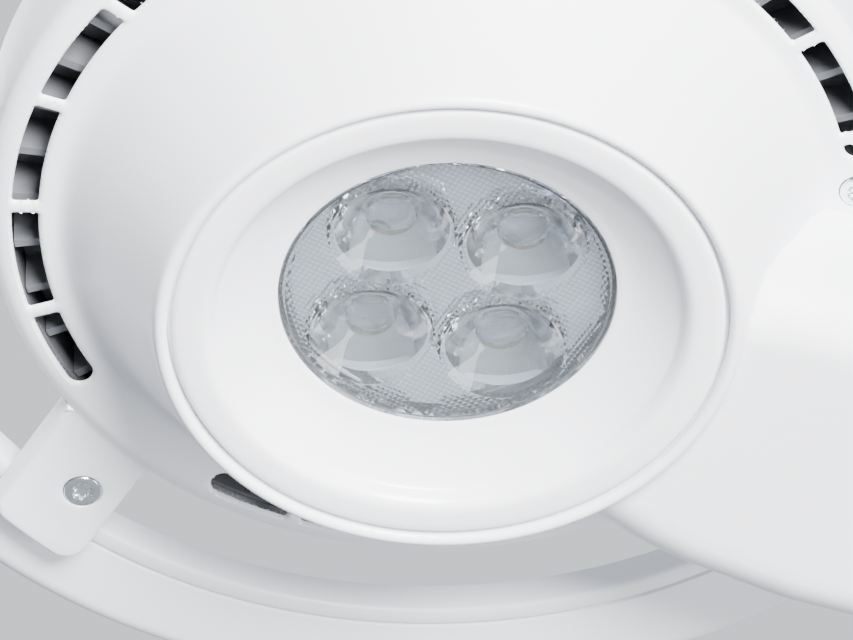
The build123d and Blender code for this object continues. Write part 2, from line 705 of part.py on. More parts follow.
def make_elbow_cap():
    cap = along_x(ELBOW_R, ELBOW_BACK, ELBOW_BACK + 3, -HINGE_DROP)
    cap = fillet(cap.edges().sort_by(Axis.X)[-1], 2.0)
    plug = along_x(CAVITY_R - FIT, ELBOW_BACK - 3, ELBOW_BACK, -HINGE_DROP)
    return cap + plug - along_x(CAVITY_R - 2, ELBOW_BACK - 4, ELBOW_BACK, -HINGE_DROP)


def make_roll_nut():
    return Pos(ROLL_NUT_X, 0, -HINGE_DROP) * Rot(0, 90, 0) * hex_nut(17.0, 4.0, ROLL_R)


def make_roll_spacer():
    """Sleeve with spring washers between the bearing shoulder and the nut."""
    sleeve = along_x(ROLL_R + 2.4, CAVITY_X0 + MOVE, ROLL_NUT_X, -HINGE_DROP)
    return sleeve - along_x(ROLL_R + FIT, CAVITY_X0 - 1, ROLL_NUT_X + 1, -HINGE_DROP)


def make_roll_washer():
    x0 = -YOKE_REACH + yoke_face_x
    washer = along_x(ELBOW_R - 2, x0, x0 + WASHER_T, -HINGE_DROP)
    return washer - along_x(ROLL_R + FIT, x0 - 1, x0 + WASHER_T + 1, -HINGE_DROP)


def make_spigot():
    spigot = cyl(SPIGOT_R, -SPIGOT_DOWN, SPIGOT_UP)
    spigot = chamfer(spigot.edges().filter_by(GeomType.CIRCLE).sort_by(Axis.Z)[-1], 1.2)
    spigot += cyl(COLLAR_R, -COLLAR_T, 0)
    groove_h = SPIGOT_UP - 8.0
    spigot -= tube(SPIGOT_R + 1, SPIGOT_R - 1.0, groove_h, groove_h + 3.0)
    return spigot - cyl(3.0, -SPIGOT_DOWN - 1, -SPIGOT_DOWN + 18)


def make_swivel_washer():
    return tube(HUB_R - 1.0, SPIGOT_R + FIT, -COLLAR_T - WASHER_T, -COLLAR_T)


def make_retainer():
    """Washer and screw that keep the spigot in the hub."""
    washer = tube(12.0, 3.0 + FIT, -SPIGOT_DOWN - 2.0, -SPIGOT_DOWN)
    screw = cyl(3.0 - 0.02, -SPIGOT_DOWN - 2.0, -SPIGOT_DOWN + 14)
    screw += cyl(5.5, -SPIGOT_DOWN - 5.5, -SPIGOT_DOWN - 2.0)
    screw -= cyl(2.4, -SPIGOT_DOWN - 6.0, -SPIGOT_DOWN - 3.5)
    return washer, screw


# ---------------------------------------------------------------- button and leads
def make_button():
    top = rear_top_h + BUTTON_PROUD
    button = cyl(BUTTON_R, rear_top_h - 7.0, top, BUTTON_X, 0)
    button = fillet(button.edges().filter_by(GeomType.CIRCLE).sort_by(Axis.Z)[-1], 0.8)
    button += cyl(BUTTON_R + 1.6, rear_top_h - 7.0 - MOVE, rear_top_h - 5.5 - MOVE, BUTTON_X, 0)
    button += cyl(2.0, switch_top + MOVE + BUTTON_TRAVEL, rear_top_h - 6.0, BUTTON_X, 0)
    return button


def make_switch():
    base = driver_top_h
    body = block(BUTTON_X - 3, BUTTON_X + 3, -3, 3, base, base + 2.6)
    return body + cyl(1.6, base + 2.6, switch_top, BUTTON_X, 0)


def make_button_spring():
    """Closed sleeve of the return spring round the switch."""
    base = driver_top_h
    return tube(5.4, 4.6, base, rear_top_h - 7.0 - MOVE - BUTTON_TRAVEL - 0.1, BUTTON_X, 0)


def make_led_lead():
    """Lead from the driver board straight through the heat sink to the LED board."""
    return cyl(LEAD_R, led_board_h + BOARD_T, driver_h, LED_LEAD_X, 0)


def make_neck_lead():
    """Two-core lead from the driver's plug over the heat sink's edge and along the frame's channel."""
    plug_h = driver_top_h + 2.2
    lead_h = channel_h + LEAD_R + 1.0
    path = FilletPolyline(
        (DRIVER_X + 20, 7.5, plug_h), (30, 7.5, plug_h), (36, 13, plug_h), (disc_r - 12.7, 11, plug_h - 1),
        (disc_r - 5.3, 0, sink_base_h - 2.0), (disc_r - 1.7, 0, lead_h), (connector_x, 0, lead_h), radius=3.0,
    )
    section = Plane(origin=path @ 0, z_dir=path % 0) * Circle(LEAD_R)
    return sweep(section, path=path, transition=Transition.ROUND)


def make_connector():
    return block(connector_x, connector_x + 6, -5, 5, channel_h, channel_h + 6)


# ---------------------------------------------------------------- screws
def torx_screw(x, y, h, length, up):
    """Pan-head screw seated at height h, its shank going down from the head, or up."""
    screw = cyl(2.6, 0, 1.8) + cyl(M3_R, -length, 0)
    screw = chamfer(screw.edges().filter_by(GeomType.CIRCLE).sort_by(Axis.Z)[-1], 0.4)
    screw -= cyl(TORX_R, 0.8, 3)
    return Pos(x, y, h) * (Rot(180, 0, 0) * screw if up else screw)


def make_cover_screws():
    return [countersunk(x, y, FLANGE_H, 9.5) for x, y in cover_screw_places]


def make_ring_screws():
    return [torx_screw(x, y, ring_h + RING_T, 12, False) for x, y in ring_screw_places]


def make_frame_screws():
    return [torx_screw(x, y, sink_top_h, 10, False) for x, y in frame_screw_places]


def make_board_screws():
    return [torx_screw(x, y, led_board_h, 8, True) for x, y in board_screw_places]


def make_driver_screws():
    return [torx_screw(x, y, driver_top_h, BOARD_T + DRIVER_LIFT + 2.5, False) for x, y in driver_posts]


def make_rear_screws():
    return [torx_screw(x, y, sink_base_h, 12, True) for x, y in rear_screw_places]


save("lens_cluster", put_head(make_lens_cluster()))
save("lens_holder", put_head(make_lens_holder()))
save("lens_seal", put_head(make_lens_seal()))
save("bezel_ring", put_head(make_bezel()))
save("led_emitters", *[put_head(led) for led in make_led_emitters()])
save("led_board", put_head(make_led_board()))
save("thermal_pad", put_head(make_thermal_pad()))
save("heat_sink", put_head(make_heat_sink()))
save("driver_posts", *[put_head(post) for post in make_driver_posts()])
save("driver_board", put_head(make_driver_board()))
save("driver_parts", *[put_head(item) for item in make_driver_parts()])
save("front_cover", put_head(make_front_cover()))
save("rear_cover", put_head(make_rear_cover()))
save("neck_back_cover", put_head(make_neck_back()))
save("ring_carrier", put_head(make_ring_carrier()))
save("handle_ring", put_head(make_handle_ring()))
save("neck_frame", put_head(make_neck_frame()))
save("hinge_bushes", *[put_hinge(bush) for bush in hinge_bushes()])
save("friction_washers", *[put_hinge(washer) for washer in friction_washers()])
save("yoke", put_hinge(make_yoke()))
save("hinge_axle", put_hinge(make_axle()))
save("axle_nut", put_hinge(make_axle_nut()))
save("axle_caps", *[put_hinge(cap) for cap in axle_caps()])
save("elbow", make_elbow())
save("elbow_cap", make_elbow_cap())
save("roll_bushes", *roll_bushes())
save("roll_nut", make_roll_nut())
save("roll_spacer", make_roll_spacer())
save("roll_washer", make_roll_washer())
save("swivel_bushes", *swivel_bushes())
save("swivel_washer", make_swivel_washer())
save("swivel_spigot", make_spigot())
retaining_washer, retaining_screw = make_retainer()
save("retaining_washer", retaining_washer)
save("retaining_screw", retaining_screw)
save("power_button", put_head(make_button()))
save("button_spring", put_head(make_button_spring()))
save("button_switch", put_head(make_switch()))
save("led_lead", put_head(make_led_lead()))
save("neck_lead", put_head(make_neck_lead()))
save("neck_connector", put_head(make_connector()))
save("cover_screws", *[put_head(screw) for screw in make_cover_screws()])
save("ring_screws", *[put_head(screw) for screw in make_ring_screws()])
save("frame_screws", *[put_head(screw) for screw in make_frame_screws()])
save("board_screws", *[put_head(screw) for screw in make_board_screws()])
save("driver_screws", *[put_head(screw) for screw in make_driver_screws()])
save("rear_screws", *[put_head(screw) for screw in make_rear_screws()])
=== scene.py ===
"""Looks of the dental operating light, modelled round its CAD frame.

Head pieces are placed in head coordinates, in millimetres: x and y from the lamp axis, h (up)
from the plane of the pod's front lip. at() takes them to the CAD's frame, in metres.
"""
import json
from math import atan2, cos, degrees, hypot, pi, radians, sin, sqrt

import bmesh
import bpy
import numpy as np
from bpy.props import FloatProperty, FloatVectorProperty, PointerProperty
from mathutils import Matrix, Vector
from mathutils.geometry import delaunay_2d_cdt


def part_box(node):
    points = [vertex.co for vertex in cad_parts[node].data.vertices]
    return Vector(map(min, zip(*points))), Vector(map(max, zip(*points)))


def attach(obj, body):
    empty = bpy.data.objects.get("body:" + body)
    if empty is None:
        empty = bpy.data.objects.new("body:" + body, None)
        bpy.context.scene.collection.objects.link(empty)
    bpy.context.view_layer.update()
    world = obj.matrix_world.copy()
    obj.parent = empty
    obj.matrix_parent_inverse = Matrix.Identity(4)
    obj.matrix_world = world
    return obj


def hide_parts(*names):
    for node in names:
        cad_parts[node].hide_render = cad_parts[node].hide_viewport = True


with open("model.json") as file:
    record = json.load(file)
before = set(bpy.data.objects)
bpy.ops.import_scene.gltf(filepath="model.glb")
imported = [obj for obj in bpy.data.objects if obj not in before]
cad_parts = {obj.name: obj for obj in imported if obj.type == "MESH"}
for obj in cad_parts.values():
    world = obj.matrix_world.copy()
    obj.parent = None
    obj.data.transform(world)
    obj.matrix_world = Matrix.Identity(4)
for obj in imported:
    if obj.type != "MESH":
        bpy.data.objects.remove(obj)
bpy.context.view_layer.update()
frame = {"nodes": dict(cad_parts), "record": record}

bl_info = {
    "name": "Dental Light Looks",
    "version": (1, 0, 0),
    "blender": (4, 5, 0),
    "location": "View3D > Sidebar > Dental Light",
    "description": "Models the visible pieces of a dental operating light round its CAD frame",
    "category": "Object",
}

MM = 0.001
LENS_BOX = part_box("lens_cluster")
LAMP_X = (LENS_BOX[0].x + LENS_BOX[1].x) / 2
LAMP_Y = (LENS_BOX[0].y + LENS_BOX[1].y) / 2
LIP_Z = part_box("front_cover")[0].z

# head sizes in millimetres: radii R and heights H as the CAD has them
WALL = 1.6                  # drawn wall of the front cover
LENS_R = 24.8
LENS_H = 7.8
LENS_BACK_H = 10.8
LENS_PCD_R = 13.9
LENS_TURN = 23.5
APERTURE_R = 9.2
PIT_R = 3.65
FUNNEL_R = 34.2
LIP_IN_R = 41.35
LIP_CREST_R = 42.3
LIP_BEAD_R = 1.05
SLOPE_R = 43.3
FOOT_R = 57.6
FLANGE_H = 25.4
SLOT_IN_R = 60.2
SLOT_OUT_R = 64.2
DISC_R = 68.1
DISC_EDGE_R = 3.4
DISC_BACK_H = 43.0
HOOP_R = 48.5               # the neck leaves the dome outside this radius
RIB_W = 2.3
TAB_X0 = -29.5
TAB_X1 = -12.9
TAB_H = FLANGE_H + 1.0
TAB_ROOT_R = 64.7
TAB_END_R = 90.0
TAB_BACK_H = 31.2
TAB_CORNER_R = 3.5
LIP_WALL_H = 10.0
RING_OUT_R = 101.5
RING_H = 31.5
GRIP_H = 7.5
CARRIER_H = 5.8
NECK_EDGE_R = 9.0
NECK_CLEAR = 13.4           # no dome points closer than this to the neck's flat core
NECK_OUT = 10.4             # flat core of the neck to its outline
NECK_BACK_H = 30.6
SCREWS = [(-19.3, 74.8), (-19.3, -74.8), (51.1, 34.4), (51.1, -34.4)]
SCREW_HOLE_R = 3.0


def at(x, y, h):
    """Place of a head point in the CAD's frame."""
    return Vector((LAMP_X + x * MM, LAMP_Y + y * MM, LIP_Z + h * MM))


# ---------------------------------------------------------------- modelling helpers
def start():
    """Object mode with nothing selected."""
    if bpy.context.object and bpy.context.object.mode != "OBJECT":
        bpy.ops.object.mode_set(mode="OBJECT")
    bpy.ops.object.select_all(action="DESELECT")


def choose(*objects):
    """Only these objects selected, the first one active."""
    start()
    for obj in objects:
        obj.select_set(True)
    bpy.context.view_layer.objects.active = objects[0]


def edit_all():
    bpy.ops.object.mode_set(mode="EDIT")
    bpy.ops.mesh.select_all(action="SELECT")


def settle(obj):
    """Place of a piece taken into its mesh."""
    choose(obj)
    bpy.ops.object.transform_apply(location=True, rotation=True, scale=True)


def smooth(obj, angle=35.0):
    choose(obj)
    bpy.ops.object.shade_smooth_by_angle(angle=radians(angle))


def finish_modifier(obj, kind, name, **settings):
    """Adds a modifier and applies it."""
    choose(obj)
    modifier = obj.modifiers.new(name, kind)
    for key, value in settings.items():
        setattr(modifier, key, value)
    bpy.ops.object.modifier_apply(modifier=modifier.name)


def tidy_normals(obj):
    """Doubles merged and faces turned outwards."""
    choose(obj)
    edit_all()
    bpy.ops.mesh.remove_doubles(threshold=1e-6)
    bpy.ops.mesh.normals_make_consistent(inside=False)
    bpy.ops.object.mode_set(mode="OBJECT")


def turn(name, outline, steps=256, centre=None):
    """Closed outline of (radius, height) points, in mm, turned about an upright axis."""
    centre = centre or at(0, 0, 0)
    start()
    bpy.ops.mesh.primitive_circle_add(vertices=len(outline), radius=MM)
    obj = bpy.context.object
    obj.name = obj.data.name = name
    for vertex, (r, height) in zip(obj.data.vertices, outline):
        vertex.co = centre + Vector((r, 0, height)) * MM
    edit_all()
    bpy.ops.mesh.spin(steps=steps, angle=2 * pi, center=centre, axis=(0, 0, 1))
    bpy.ops.object.mode_set(mode="OBJECT")
    tidy_normals(obj)
    return obj


def arc(cx, cy, r, a0, a1, count):
    """Points of an arc from angle a0 to a1, in degrees."""
    return [(cx + r * cos(radians(a0 + (a1 - a0) * k / count)),
             cy + r * sin(radians(a0 + (a1 - a0) * k / count))) for k in range(count + 1)]


def rounded_block(name, lo, hi, radius, segments=3):
    """Block between two corners in mm of head coordinates, with rounded edges."""
    start()
    middle = (at(*lo) + at(*hi)) / 2
    bpy.ops.mesh.primitive_cube_add(size=1, location=middle)
    obj = bpy.context.object
    obj.name = obj.data.name = name
    obj.scale = Vector([(b - a) * MM for a, b in zip(lo, hi)])
    settle(obj)
    finish_modifier(obj, "BEVEL", "Rounded edges", width=radius * MM, segments=segments)
    smooth(obj)
    return obj


def join(first, *others):
    choose(first, *others)
    bpy.ops.object.join()
    return first


def mesh_object(name, verts, faces):
    mesh = bpy.data.meshes.new(name)
    mesh.from_pydata([tuple(v) for v in verts], [], faces)
    obj = bpy.data.objects.new(name, mesh)
    bpy.context.scene.collection.objects.link(obj)
    return obj


def dress(obj, body, slot, *nodes):
    """Gives a finished piece its record slot with its material, its body and the nodes it stands for."""
    obj.data.materials.clear()
    obj.data.materials.append(material(slot))
    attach(obj, body)
    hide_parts(*nodes)


def softened(node, name, width, angle=35.0):
    """Own copy of a CAD piece, its loose triangles merged and its edges rounded."""
    start()
    source = frame["nodes"][node]
    obj = source.copy()
    obj.data = source.data.copy()
    obj.parent = None
    obj.name = obj.data.name = name
    for key in list(obj.keys()):
        del obj[key]
    bpy.context.scene.collection.objects.link(obj)
    choose(obj)
    edit_all()
    bpy.ops.mesh.remove_doubles(threshold=2e-6)
    bpy.ops.mesh.dissolve_limited(angle_limit=radians(0.3))
    bpy.ops.object.mode_set(mode="OBJECT")
    if obj.data.has_custom_normals:
        bpy.ops.mesh.customdata_custom_splitnormals_clear()
    if width:
        finish_modifier(obj, "BEVEL", "Soft edges", width=width * MM, segments=2, limit_method="ANGLE",
                        angle_limit=radians(angle), miter_outer="MITER_ARC")
    finish_modifier(obj, "TRIANGULATE", "Closed faces", min_vertices=5)
    smooth(obj, 40)
    return obj


# ---------------------------------------------------------------- materials
def blank(name):
    material = bpy.data.materials.new(name)
    material.use_nodes = True
    tree = material.node_tree
    place = tree.nodes.new("ShaderNodeTexCoord").outputs["Object"]
    return material, tree, tree.nodes["Principled BSDF"], place


def noise(tree, place, scale, detail=3.0):
    node = tree.nodes.new("ShaderNodeTexNoise")
    node.inputs["Scale"].default_value = scale
    node.inputs["Detail"].default_value = detail
    tree.links.new(place, node.inputs["Vector"])
    return node.outputs["Fac"]


def between(tree, fac, low, high):
    """Factor of 0.3 to 0.7 spread between two values."""
    node = tree.nodes.new("ShaderNodeMapRange")
    node.inputs["From Min"].default_value = 0.3
    node.inputs["From Max"].default_value = 0.7
    node.inputs["To Min"].default_value = low
    node.inputs["To Max"].default_value = high
    tree.links.new(fac, node.inputs["Value"])
    return node.outputs["Result"]


def tint(tree, fac, dark, light):
    """Factor spread between two colours."""
    ramp = tree.nodes.new("ShaderNodeValToRGB")
    ramp.color_ramp.elements[0].position = 0.3
    ramp.color_ramp.elements[1].position = 0.7
    ramp.color_ramp.elements[0].color = (*dark, 1)
    ramp.color_ramp.elements[1].color = (*light, 1)
    tree.links.new(fac, ramp.inputs["Fac"])
    return ramp.outputs["Color"]


def relief(tree, shader, height, depth, strength=1.0):
    bump = tree.nodes.new("ShaderNodeBump")
    bump.inputs["Strength"].default_value = strength
    bump.inputs["Distance"].default_value = depth
    tree.links.new(height, bump.inputs["Height"])
    tree.links.new(bump.outputs["Normal"], shader.inputs["Normal"])


def finish(name, colour, vary=0.02, rough=0.35, rough_vary=0.04, cloud=40.0, grain=1500.0,
           depth=4e-6, metallic=0.0, coat=0.0, stretch=None):
    """Moulded, cast, painted or turned surface: clouded colour, uneven gloss and fine grain."""
    material, tree, shader, place = blank(name)
    if stretch:
        mapping = tree.nodes.new("ShaderNodeMapping")
        mapping.inputs["Scale"].default_value = stretch
        tree.links.new(place, mapping.inputs["Vector"])
        place = mapping.outputs["Vector"]
    dark = [c * (1 - vary) for c in colour]
    light = [min(1.0, c * (1 + vary)) for c in colour]
    tree.links.new(tint(tree, noise(tree, place, cloud), dark, light), shader.inputs["Base Color"])
    fine = noise(tree, place, grain, 2.0)
    gloss = between(tree, noise(tree, place, cloud * 3), rough - rough_vary, rough + rough_vary)
    tree.links.new(gloss, shader.inputs["Roughness"])
    relief(tree, shader, fine, depth)
    shader.inputs["Metallic"].default_value = metallic
    shader.inputs["Coat Weight"].default_value = coat
    shader.inputs["Coat Roughness"].default_value = 0.12
    return material


def math_node(tree, operation, first, second):
    """Output of a math node; each operand is a number or another node's output."""
    node = tree.nodes.new("ShaderNodeMath")
    node.operation = operation
    for socket, operand in zip(node.inputs, (first, second)):
        if isinstance(operand, (int, float)):
            socket.default_value = operand
        else:
            tree.links.new(operand, socket)
    return node.outputs["Value"]


def clear_plastic(name, colour, pitch, rough):
    """Clear moulded lens plastic; a painted shade darkens its colour along the borders of the pyramids on
    its face.
    """
    material, tree, shader, place = blank(name)
    split = tree.nodes.new("ShaderNodeSeparateXYZ")
    tree.links.new(place, split.inputs["Vector"])
    waves = []
    for axis, middle in (("X", LAMP_X), ("Y", LAMP_Y)):
        away = math_node(tree, "SUBTRACT", split.outputs[axis], middle)
        waves.append(math_node(tree, "PINGPONG", away, pitch * MM / 2))
    point = math_node(tree, "DIVIDE", math_node(tree, "MINIMUM", *waves), pitch * MM / 2)
    behind_face = math_node(tree, "GREATER_THAN", split.outputs["Z"], LIP_Z + (LENS_H + 0.4) * MM)
    light = math_node(tree, "MAXIMUM", math_node(tree, "MULTIPLY", point, 1.7), behind_face)
    # painted shade: lens colour darkened to 60 % along the pyramids' borders, full at their points and
    # behind the front face
    painted_border_shade = tint(tree, light, [c * 0.6 for c in colour], colour)
    tree.links.new(painted_border_shade, shader.inputs["Base Color"])
    tree.links.new(between(tree, noise(tree, place, 400.0), rough * 0.6, rough), shader.inputs["Roughness"])
    relief(tree, shader, noise(tree, place, 250.0, 2.0), 3e-6)
    shader.inputs["Transmission Weight"].default_value = 0.97
    shader.inputs["IOR"].default_value = 1.49
    return material


def phosphor(name, colour):
    """Cream phosphor over the light-emitting chips, with its fine powder grain."""
    material, tree, shader, place = blank(name)
    speckle = noise(tree, place, 4000.0, 1.0)
    tree.links.new(tint(tree, speckle, [c * 0.88 for c in colour], colour), shader.inputs["Base Color"])
    tree.links.new(between(tree, speckle, 0.35, 0.55), shader.inputs["Roughness"])
    relief(tree, shader, speckle, 1e-5)
    shader.inputs["Subsurface Weight"].default_value = 0.2
    shader.inputs["Subsurface Scale"].default_value = 0.0005
    return material


def finishes(look):
    """Finish of each record slot: name, colour, its variation, roughness, its variation, size of the
    clouding and of the grain per metre, depth of the grain in metres, and what else it has."""
    shell = list(look.shell_colour)
    trim = list(look.trim_colour)
    fins = list(look.fin_colour)
    zinc = list(look.screw_colour)
    paint = [c * 0.98 for c in shell]
    metal = {"metallic": 1.0}
    return {
        "white_shell": ("Shell plastic", shell, 0.012, 0.34, 0.03, 18, 1300, 5e-6, {"coat": 0.12}),
        "white_trim": ("Trim plastic", trim, 0.01, 0.3, 0.03, 22, 1500, 4e-6, {"coat": 0.15}),
        "black_plastic": ("Black plastic", (0.02, 0.02, 0.022), 0.15, 0.45, 0.08, 120, 2500, 8e-6, {}),
        "grey_rubber": ("Grey rubber", (0.11, 0.11, 0.115), 0.1, 0.75, 0.08, 200, 3000, 1e-5, {}),
        "white_board": ("White solder mask", (0.82, 0.83, 0.82), 0.03, 0.3, 0.05, 150, 2500, 6e-6,
                        {"coat": 0.3}),
        "green_board": ("Green solder mask", (0.02, 0.16, 0.07), 0.12, 0.28, 0.06, 150, 2500, 8e-6,
                        {"coat": 0.4}),
        "dark_fins": ("Dark anodised aluminium", fins, 0.12, 0.4, 0.06, 90, 2200, 8e-6,
                      {"metallic": 0.25}),
        "brass_turned": ("Turned brass", (0.72, 0.5, 0.2), 0.05, 0.25, 0.05, 150, 900, 6e-6,
                         {"metallic": 1.0, "stretch": (1, 1, 14)}),
        "bronze_bush": ("Sintered bronze", (0.42, 0.26, 0.12), 0.1, 0.42, 0.08, 300, 3500, 1.4e-5, metal),
        "cast_metal": ("Cast aluminium", (0.5, 0.51, 0.52), 0.07, 0.46, 0.07, 120, 1400, 2.4e-5, metal),
        "painted_casting": ("Painted casting", paint, 0.015, 0.32, 0.05, 25, 700, 1.4e-5, {"coat": 0.2}),
        "turned_steel": ("Turned steel", (0.56, 0.57, 0.58), 0.05, 0.24, 0.06, 180, 900, 6e-6,
                         {"metallic": 1.0, "stretch": (1, 1, 16)}),
        "zinc_screw": ("Blue zinc plate", zinc, 0.09, 0.22, 0.07, 700, 2600, 6e-6, metal),
        "friction_polymer": ("Natural polymer", (0.62, 0.6, 0.52), 0.05, 0.5, 0.06, 150, 2000, 8e-6, {}),
        "button_plastic": ("Button plastic", (0.30, 0.33, 0.37), 0.05, 0.4, 0.05, 120, 2600, 1e-5, {}),
        "lead_sheath": ("Lead sheath", (0.6, 0.61, 0.62), 0.06, 0.5, 0.06, 300, 3000, 8e-6, {}),
    }


_made = {}


def material(slot):
    """Material of a record slot, made once."""
    if slot not in _made:
        look = bpy.context.scene.dental_light
        if slot == "clear_lens":
            _made[slot] = clear_plastic("Lens plastic", list(look.lens_colour), look.scale_pitch, 0.04)
        elif slot == "led_phosphor":
            _made[slot] = phosphor("Phosphor", (0.86, 0.78, 0.55))
        else:
            *settings, extras = finishes(look)[slot]
            _made[slot] = finish(*settings, **extras)
    return _made[slot]


# ---------------------------------------------------------------- shape of the front cover
CORE = [(30.0, 17.2), (41.0, 17.2), (50.0, 19.2), (57.0, 20.0), (75.0, 19.8), (88.0, 18.0), (97.2, 14.6)]
CORE_X = [p[0] for p in CORE]
CORE_Y = [p[1] for p in CORE]
CORE_END_X = CORE_X[-1]
FLANK_ANGLE = 85.5
FLANK_D = NECK_EDGE_R * sin(radians(FLANK_ANGLE))
FLANK_H = NECK_EDGE_R * (1 - cos(radians(FLANK_ANGLE)))


def core_side(x):
    """Half-width of the neck's flat core, and the outward normal of its side."""
    y = float(np.interp(x, CORE_X, CORE_Y))
    slope = float(np.interp(x + 2, CORE_X, CORE_Y) - np.interp(x - 2, CORE_X, CORE_Y)) / 4
    length = hypot(1, slope)
    return y, (-slope / length, 1 / length)


CORE_LINE = np.array([(x, core_side(x)[0]) for x in np.linspace(30, CORE_END_X, 60)]
                     + [(CORE_END_X, y) for y in np.linspace(CORE_Y[-1], 0, 12)[1:]])


def core_distance(x, y):
    """Distance outside the neck's flat core; negative inside."""
    y = abs(y)
    a = CORE_LINE[:-1]
    step = CORE_LINE[1:] - a
    t = np.clip(((x - a[:, 0]) * step[:, 0] + (y - a[:, 1]) * step[:, 1]) / (step ** 2).sum(1), 0, 1)
    near = a + step * t[:, None]
    distance = float(np.hypot(x - near[:, 0], y - near[:, 1]).min())
    inside = x < CORE_END_X and y < np.interp(x, CORE_X, CORE_Y)
    return -distance if inside else distance


def neck_height(x, y):
    """Flat front of the neck, rounded edge and flank."""
    front = 2.6 + 3.4 * min(max((x - 45.0) / 53.0, -0.2), 1.2)
    d = core_distance(x, y)
    if d <= 0:
        return front
    if d <= FLANK_D:
        return front + NECK_EDGE_R - sqrt(NECK_EDGE_R ** 2 - d * d)
    flank = (NECK_BACK_H - front - FLANK_H) / (NECK_OUT - FLANK_D)
    return front + FLANK_H + (d - FLANK_D) * flank


def hermite(x, knots):
    """Smooth curve through knots of place, value and slope."""
    for (x0, y0, m0), (x1, y1, m1) in zip(knots, knots[1:]):
        if x <= x1:
            d = x1 - x0
            t = (x - x0) / d
            return ((2 * t ** 3 - 3 * t ** 2 + 1) * y0 + (t ** 3 - 2 * t ** 2 + t) * d * m0
                    + (3 * t ** 2 - 2 * t ** 3) * y1 + (t ** 3 - t ** 2) * d * m1)
    return knots[-1][1]


BEYOND_SLOPE = 14.0         # steep fall outside the disc, where only the neck shows
SLOPE = [(SLOPE_R, 0.7, 2.45), (50.76, 16.26, 1.75), (FOOT_R, FLANGE_H, 0.1)]


def dome_height(r):
    """Lip bead, slope, flange and rounded edge."""
    if r < SLOPE_R:
        return LIP_BEAD_R - sqrt(max(0.0, LIP_BEAD_R ** 2 - (r - LIP_CREST_R) ** 2))
    if r < FOOT_R:
        return hermite(r, SLOPE)
    edge = r - (DISC_R - DISC_EDGE_R)
    if edge <= 0:
        return FLANGE_H
    if r <= DISC_R:
        return FLANGE_H + DISC_EDGE_R - sqrt(max(0.0, DISC_EDGE_R ** 2 - edge ** 2))
    return FLANGE_H + DISC_EDGE_R + (r - DISC_R) * BEYOND_SLOPE


def ease(value, low, high):
    """Smooth step from 0 at low to 1 at high."""
    t = min(max((value - low) / (high - low), 0.0), 1.0)
    return t * t * (3 - 2 * t)


def cover_height(x, y):
    """Height of the cover's front face."""
    r = hypot(x, y)
    dome = dome_height(r)
    if TAB_X0 - 0.01 <= x <= TAB_X1 + 0.01 and r > TAB_ROOT_R:
        return FLANGE_H + (TAB_H - FLANGE_H) * ease(r, 65.0, 67.8)
    if x < 20 or abs(y) > 40:
        return dome
    neck = neck_height(x, y)
    blend = 0.5 + 6.5 * ease(r, 43.5, 58.0)
    share = max(blend - abs(dome - neck), 0.0) / blend
    return min(dome, neck) - share * share * blend / 4


def slot_outline(left, right, left_round, right_round, grow, pitch=0.5):
    """Outline of one cooling slot. left and right give the side's angle at a radius."""
    r0, r1 = SLOT_IN_R - grow, SLOT_OUT_R + grow
    mid = (SLOT_IN_R + SLOT_OUT_R) / 2
    length = radians(right(mid) - left(mid)) * mid + 2 * grow
    cl, cr = left_round + grow, right_round + grow
    cl, cr = min(cl, (r1 - r0) / 2), min(cr, (r1 - r0) / 2)
    flat = arc(cl, r0 + cl, cl, 180, 270, 6)
    count = max(2, int((length - cl - cr) / pitch))
    flat += [(cl + (length - cl - cr) * k / count, r0) for k in range(1, count)]
    flat += arc(length - cr, r0 + cr, cr, 270, 360, 6)
    if r1 - r0 > 2 * cr + 0.3:
        flat += [(length, r0 + cr + (r1 - r0 - 2 * cr) * k / 5) for k in range(1, 5)]
    flat += arc(length - cr, r1 - cr, cr, 0, 90, 6)
    flat += [(length - cr - (length - cl - cr) * k / count, r1) for k in range(1, count)]
    flat += arc(cl, r1 - cl, cl, 90, 180, 6)
    if r1 - r0 > 2 * cl + 0.3:
        flat += [(0, r1 - cl - (r1 - r0 - 2 * cl) * k / 5) for k in range(1, 5)]
    points = []
    for u, r in flat:
        a0 = left(r) - degrees(grow / r)
        a1 = right(r) + degrees(grow / r)
        a = radians(a0 + (a1 - a0) * u / length)
        if not points or hypot(points[-1][0] - r * cos(a), points[-1][1] - r * sin(a)) > 0.02:
            points.append((r * cos(a), r * sin(a)))
    return points


def slot_cells():
    """Sides and end roundings of each slot, between the ribs of the three runs."""
    far = [180 + 18.7 * (k - 2.5) for k in range(6)]
    side = [43.5, 61.9, 80.2]
    runs = [(119.0, 241.0, far), (40.0, 93.5, side), (-93.5, -40.0, [-a for a in reversed(side)])]
    cells = []
    for begin, end, ribs in runs:
        marks = [None, *ribs, None]
        for a, b in zip(marks, marks[1:]):
            left = (lambda r, v=begin: v) if a is None else (lambda r, v=a: v + degrees(RIB_W / 2 / r))
            right = (lambda r, v=end: v) if b is None else (lambda r, v=b: v - degrees(RIB_W / 2 / r))
            cells.append((left, right, 0.5 if a is not None else 2.0, 0.5 if b is not None else 2.0))
    return cells


def tab_outline(inset=0.0):
    """Outline of the +Y tab, from the disc's edge out over the ring and back."""
    x0, x1, r = TAB_X0 + inset, TAB_X1 - inset, TAB_END_R - inset
    c = TAB_CORNER_R - inset
    root = DISC_R
    right_top = sqrt((r - c) ** 2 - (x1 - c) ** 2)
    left_top = sqrt((r - c) ** 2 - (x0 + c) ** 2)
    y_in0, y_in1 = sqrt(root ** 2 - x1 ** 2), sqrt(root ** 2 - x0 ** 2)
    points = [(x1, y_in0 + (right_top - y_in0) * k / 12) for k in range(12)]
    end_r = degrees(atan2(right_top, x1 - c))
    end_l = degrees(atan2(left_top, x0 + c))
    points += arc(x1 - c, right_top, c, 0, end_r, 8)
    points += arc(0, 0, r, end_r, end_l, 14)[1:-1]
    points += arc(x0 + c, left_top, c, end_l, 180, 8)
    points += [(x0, left_top + (y_in1 - left_top) * k / 12) for k in range(1, 13)]
    return points


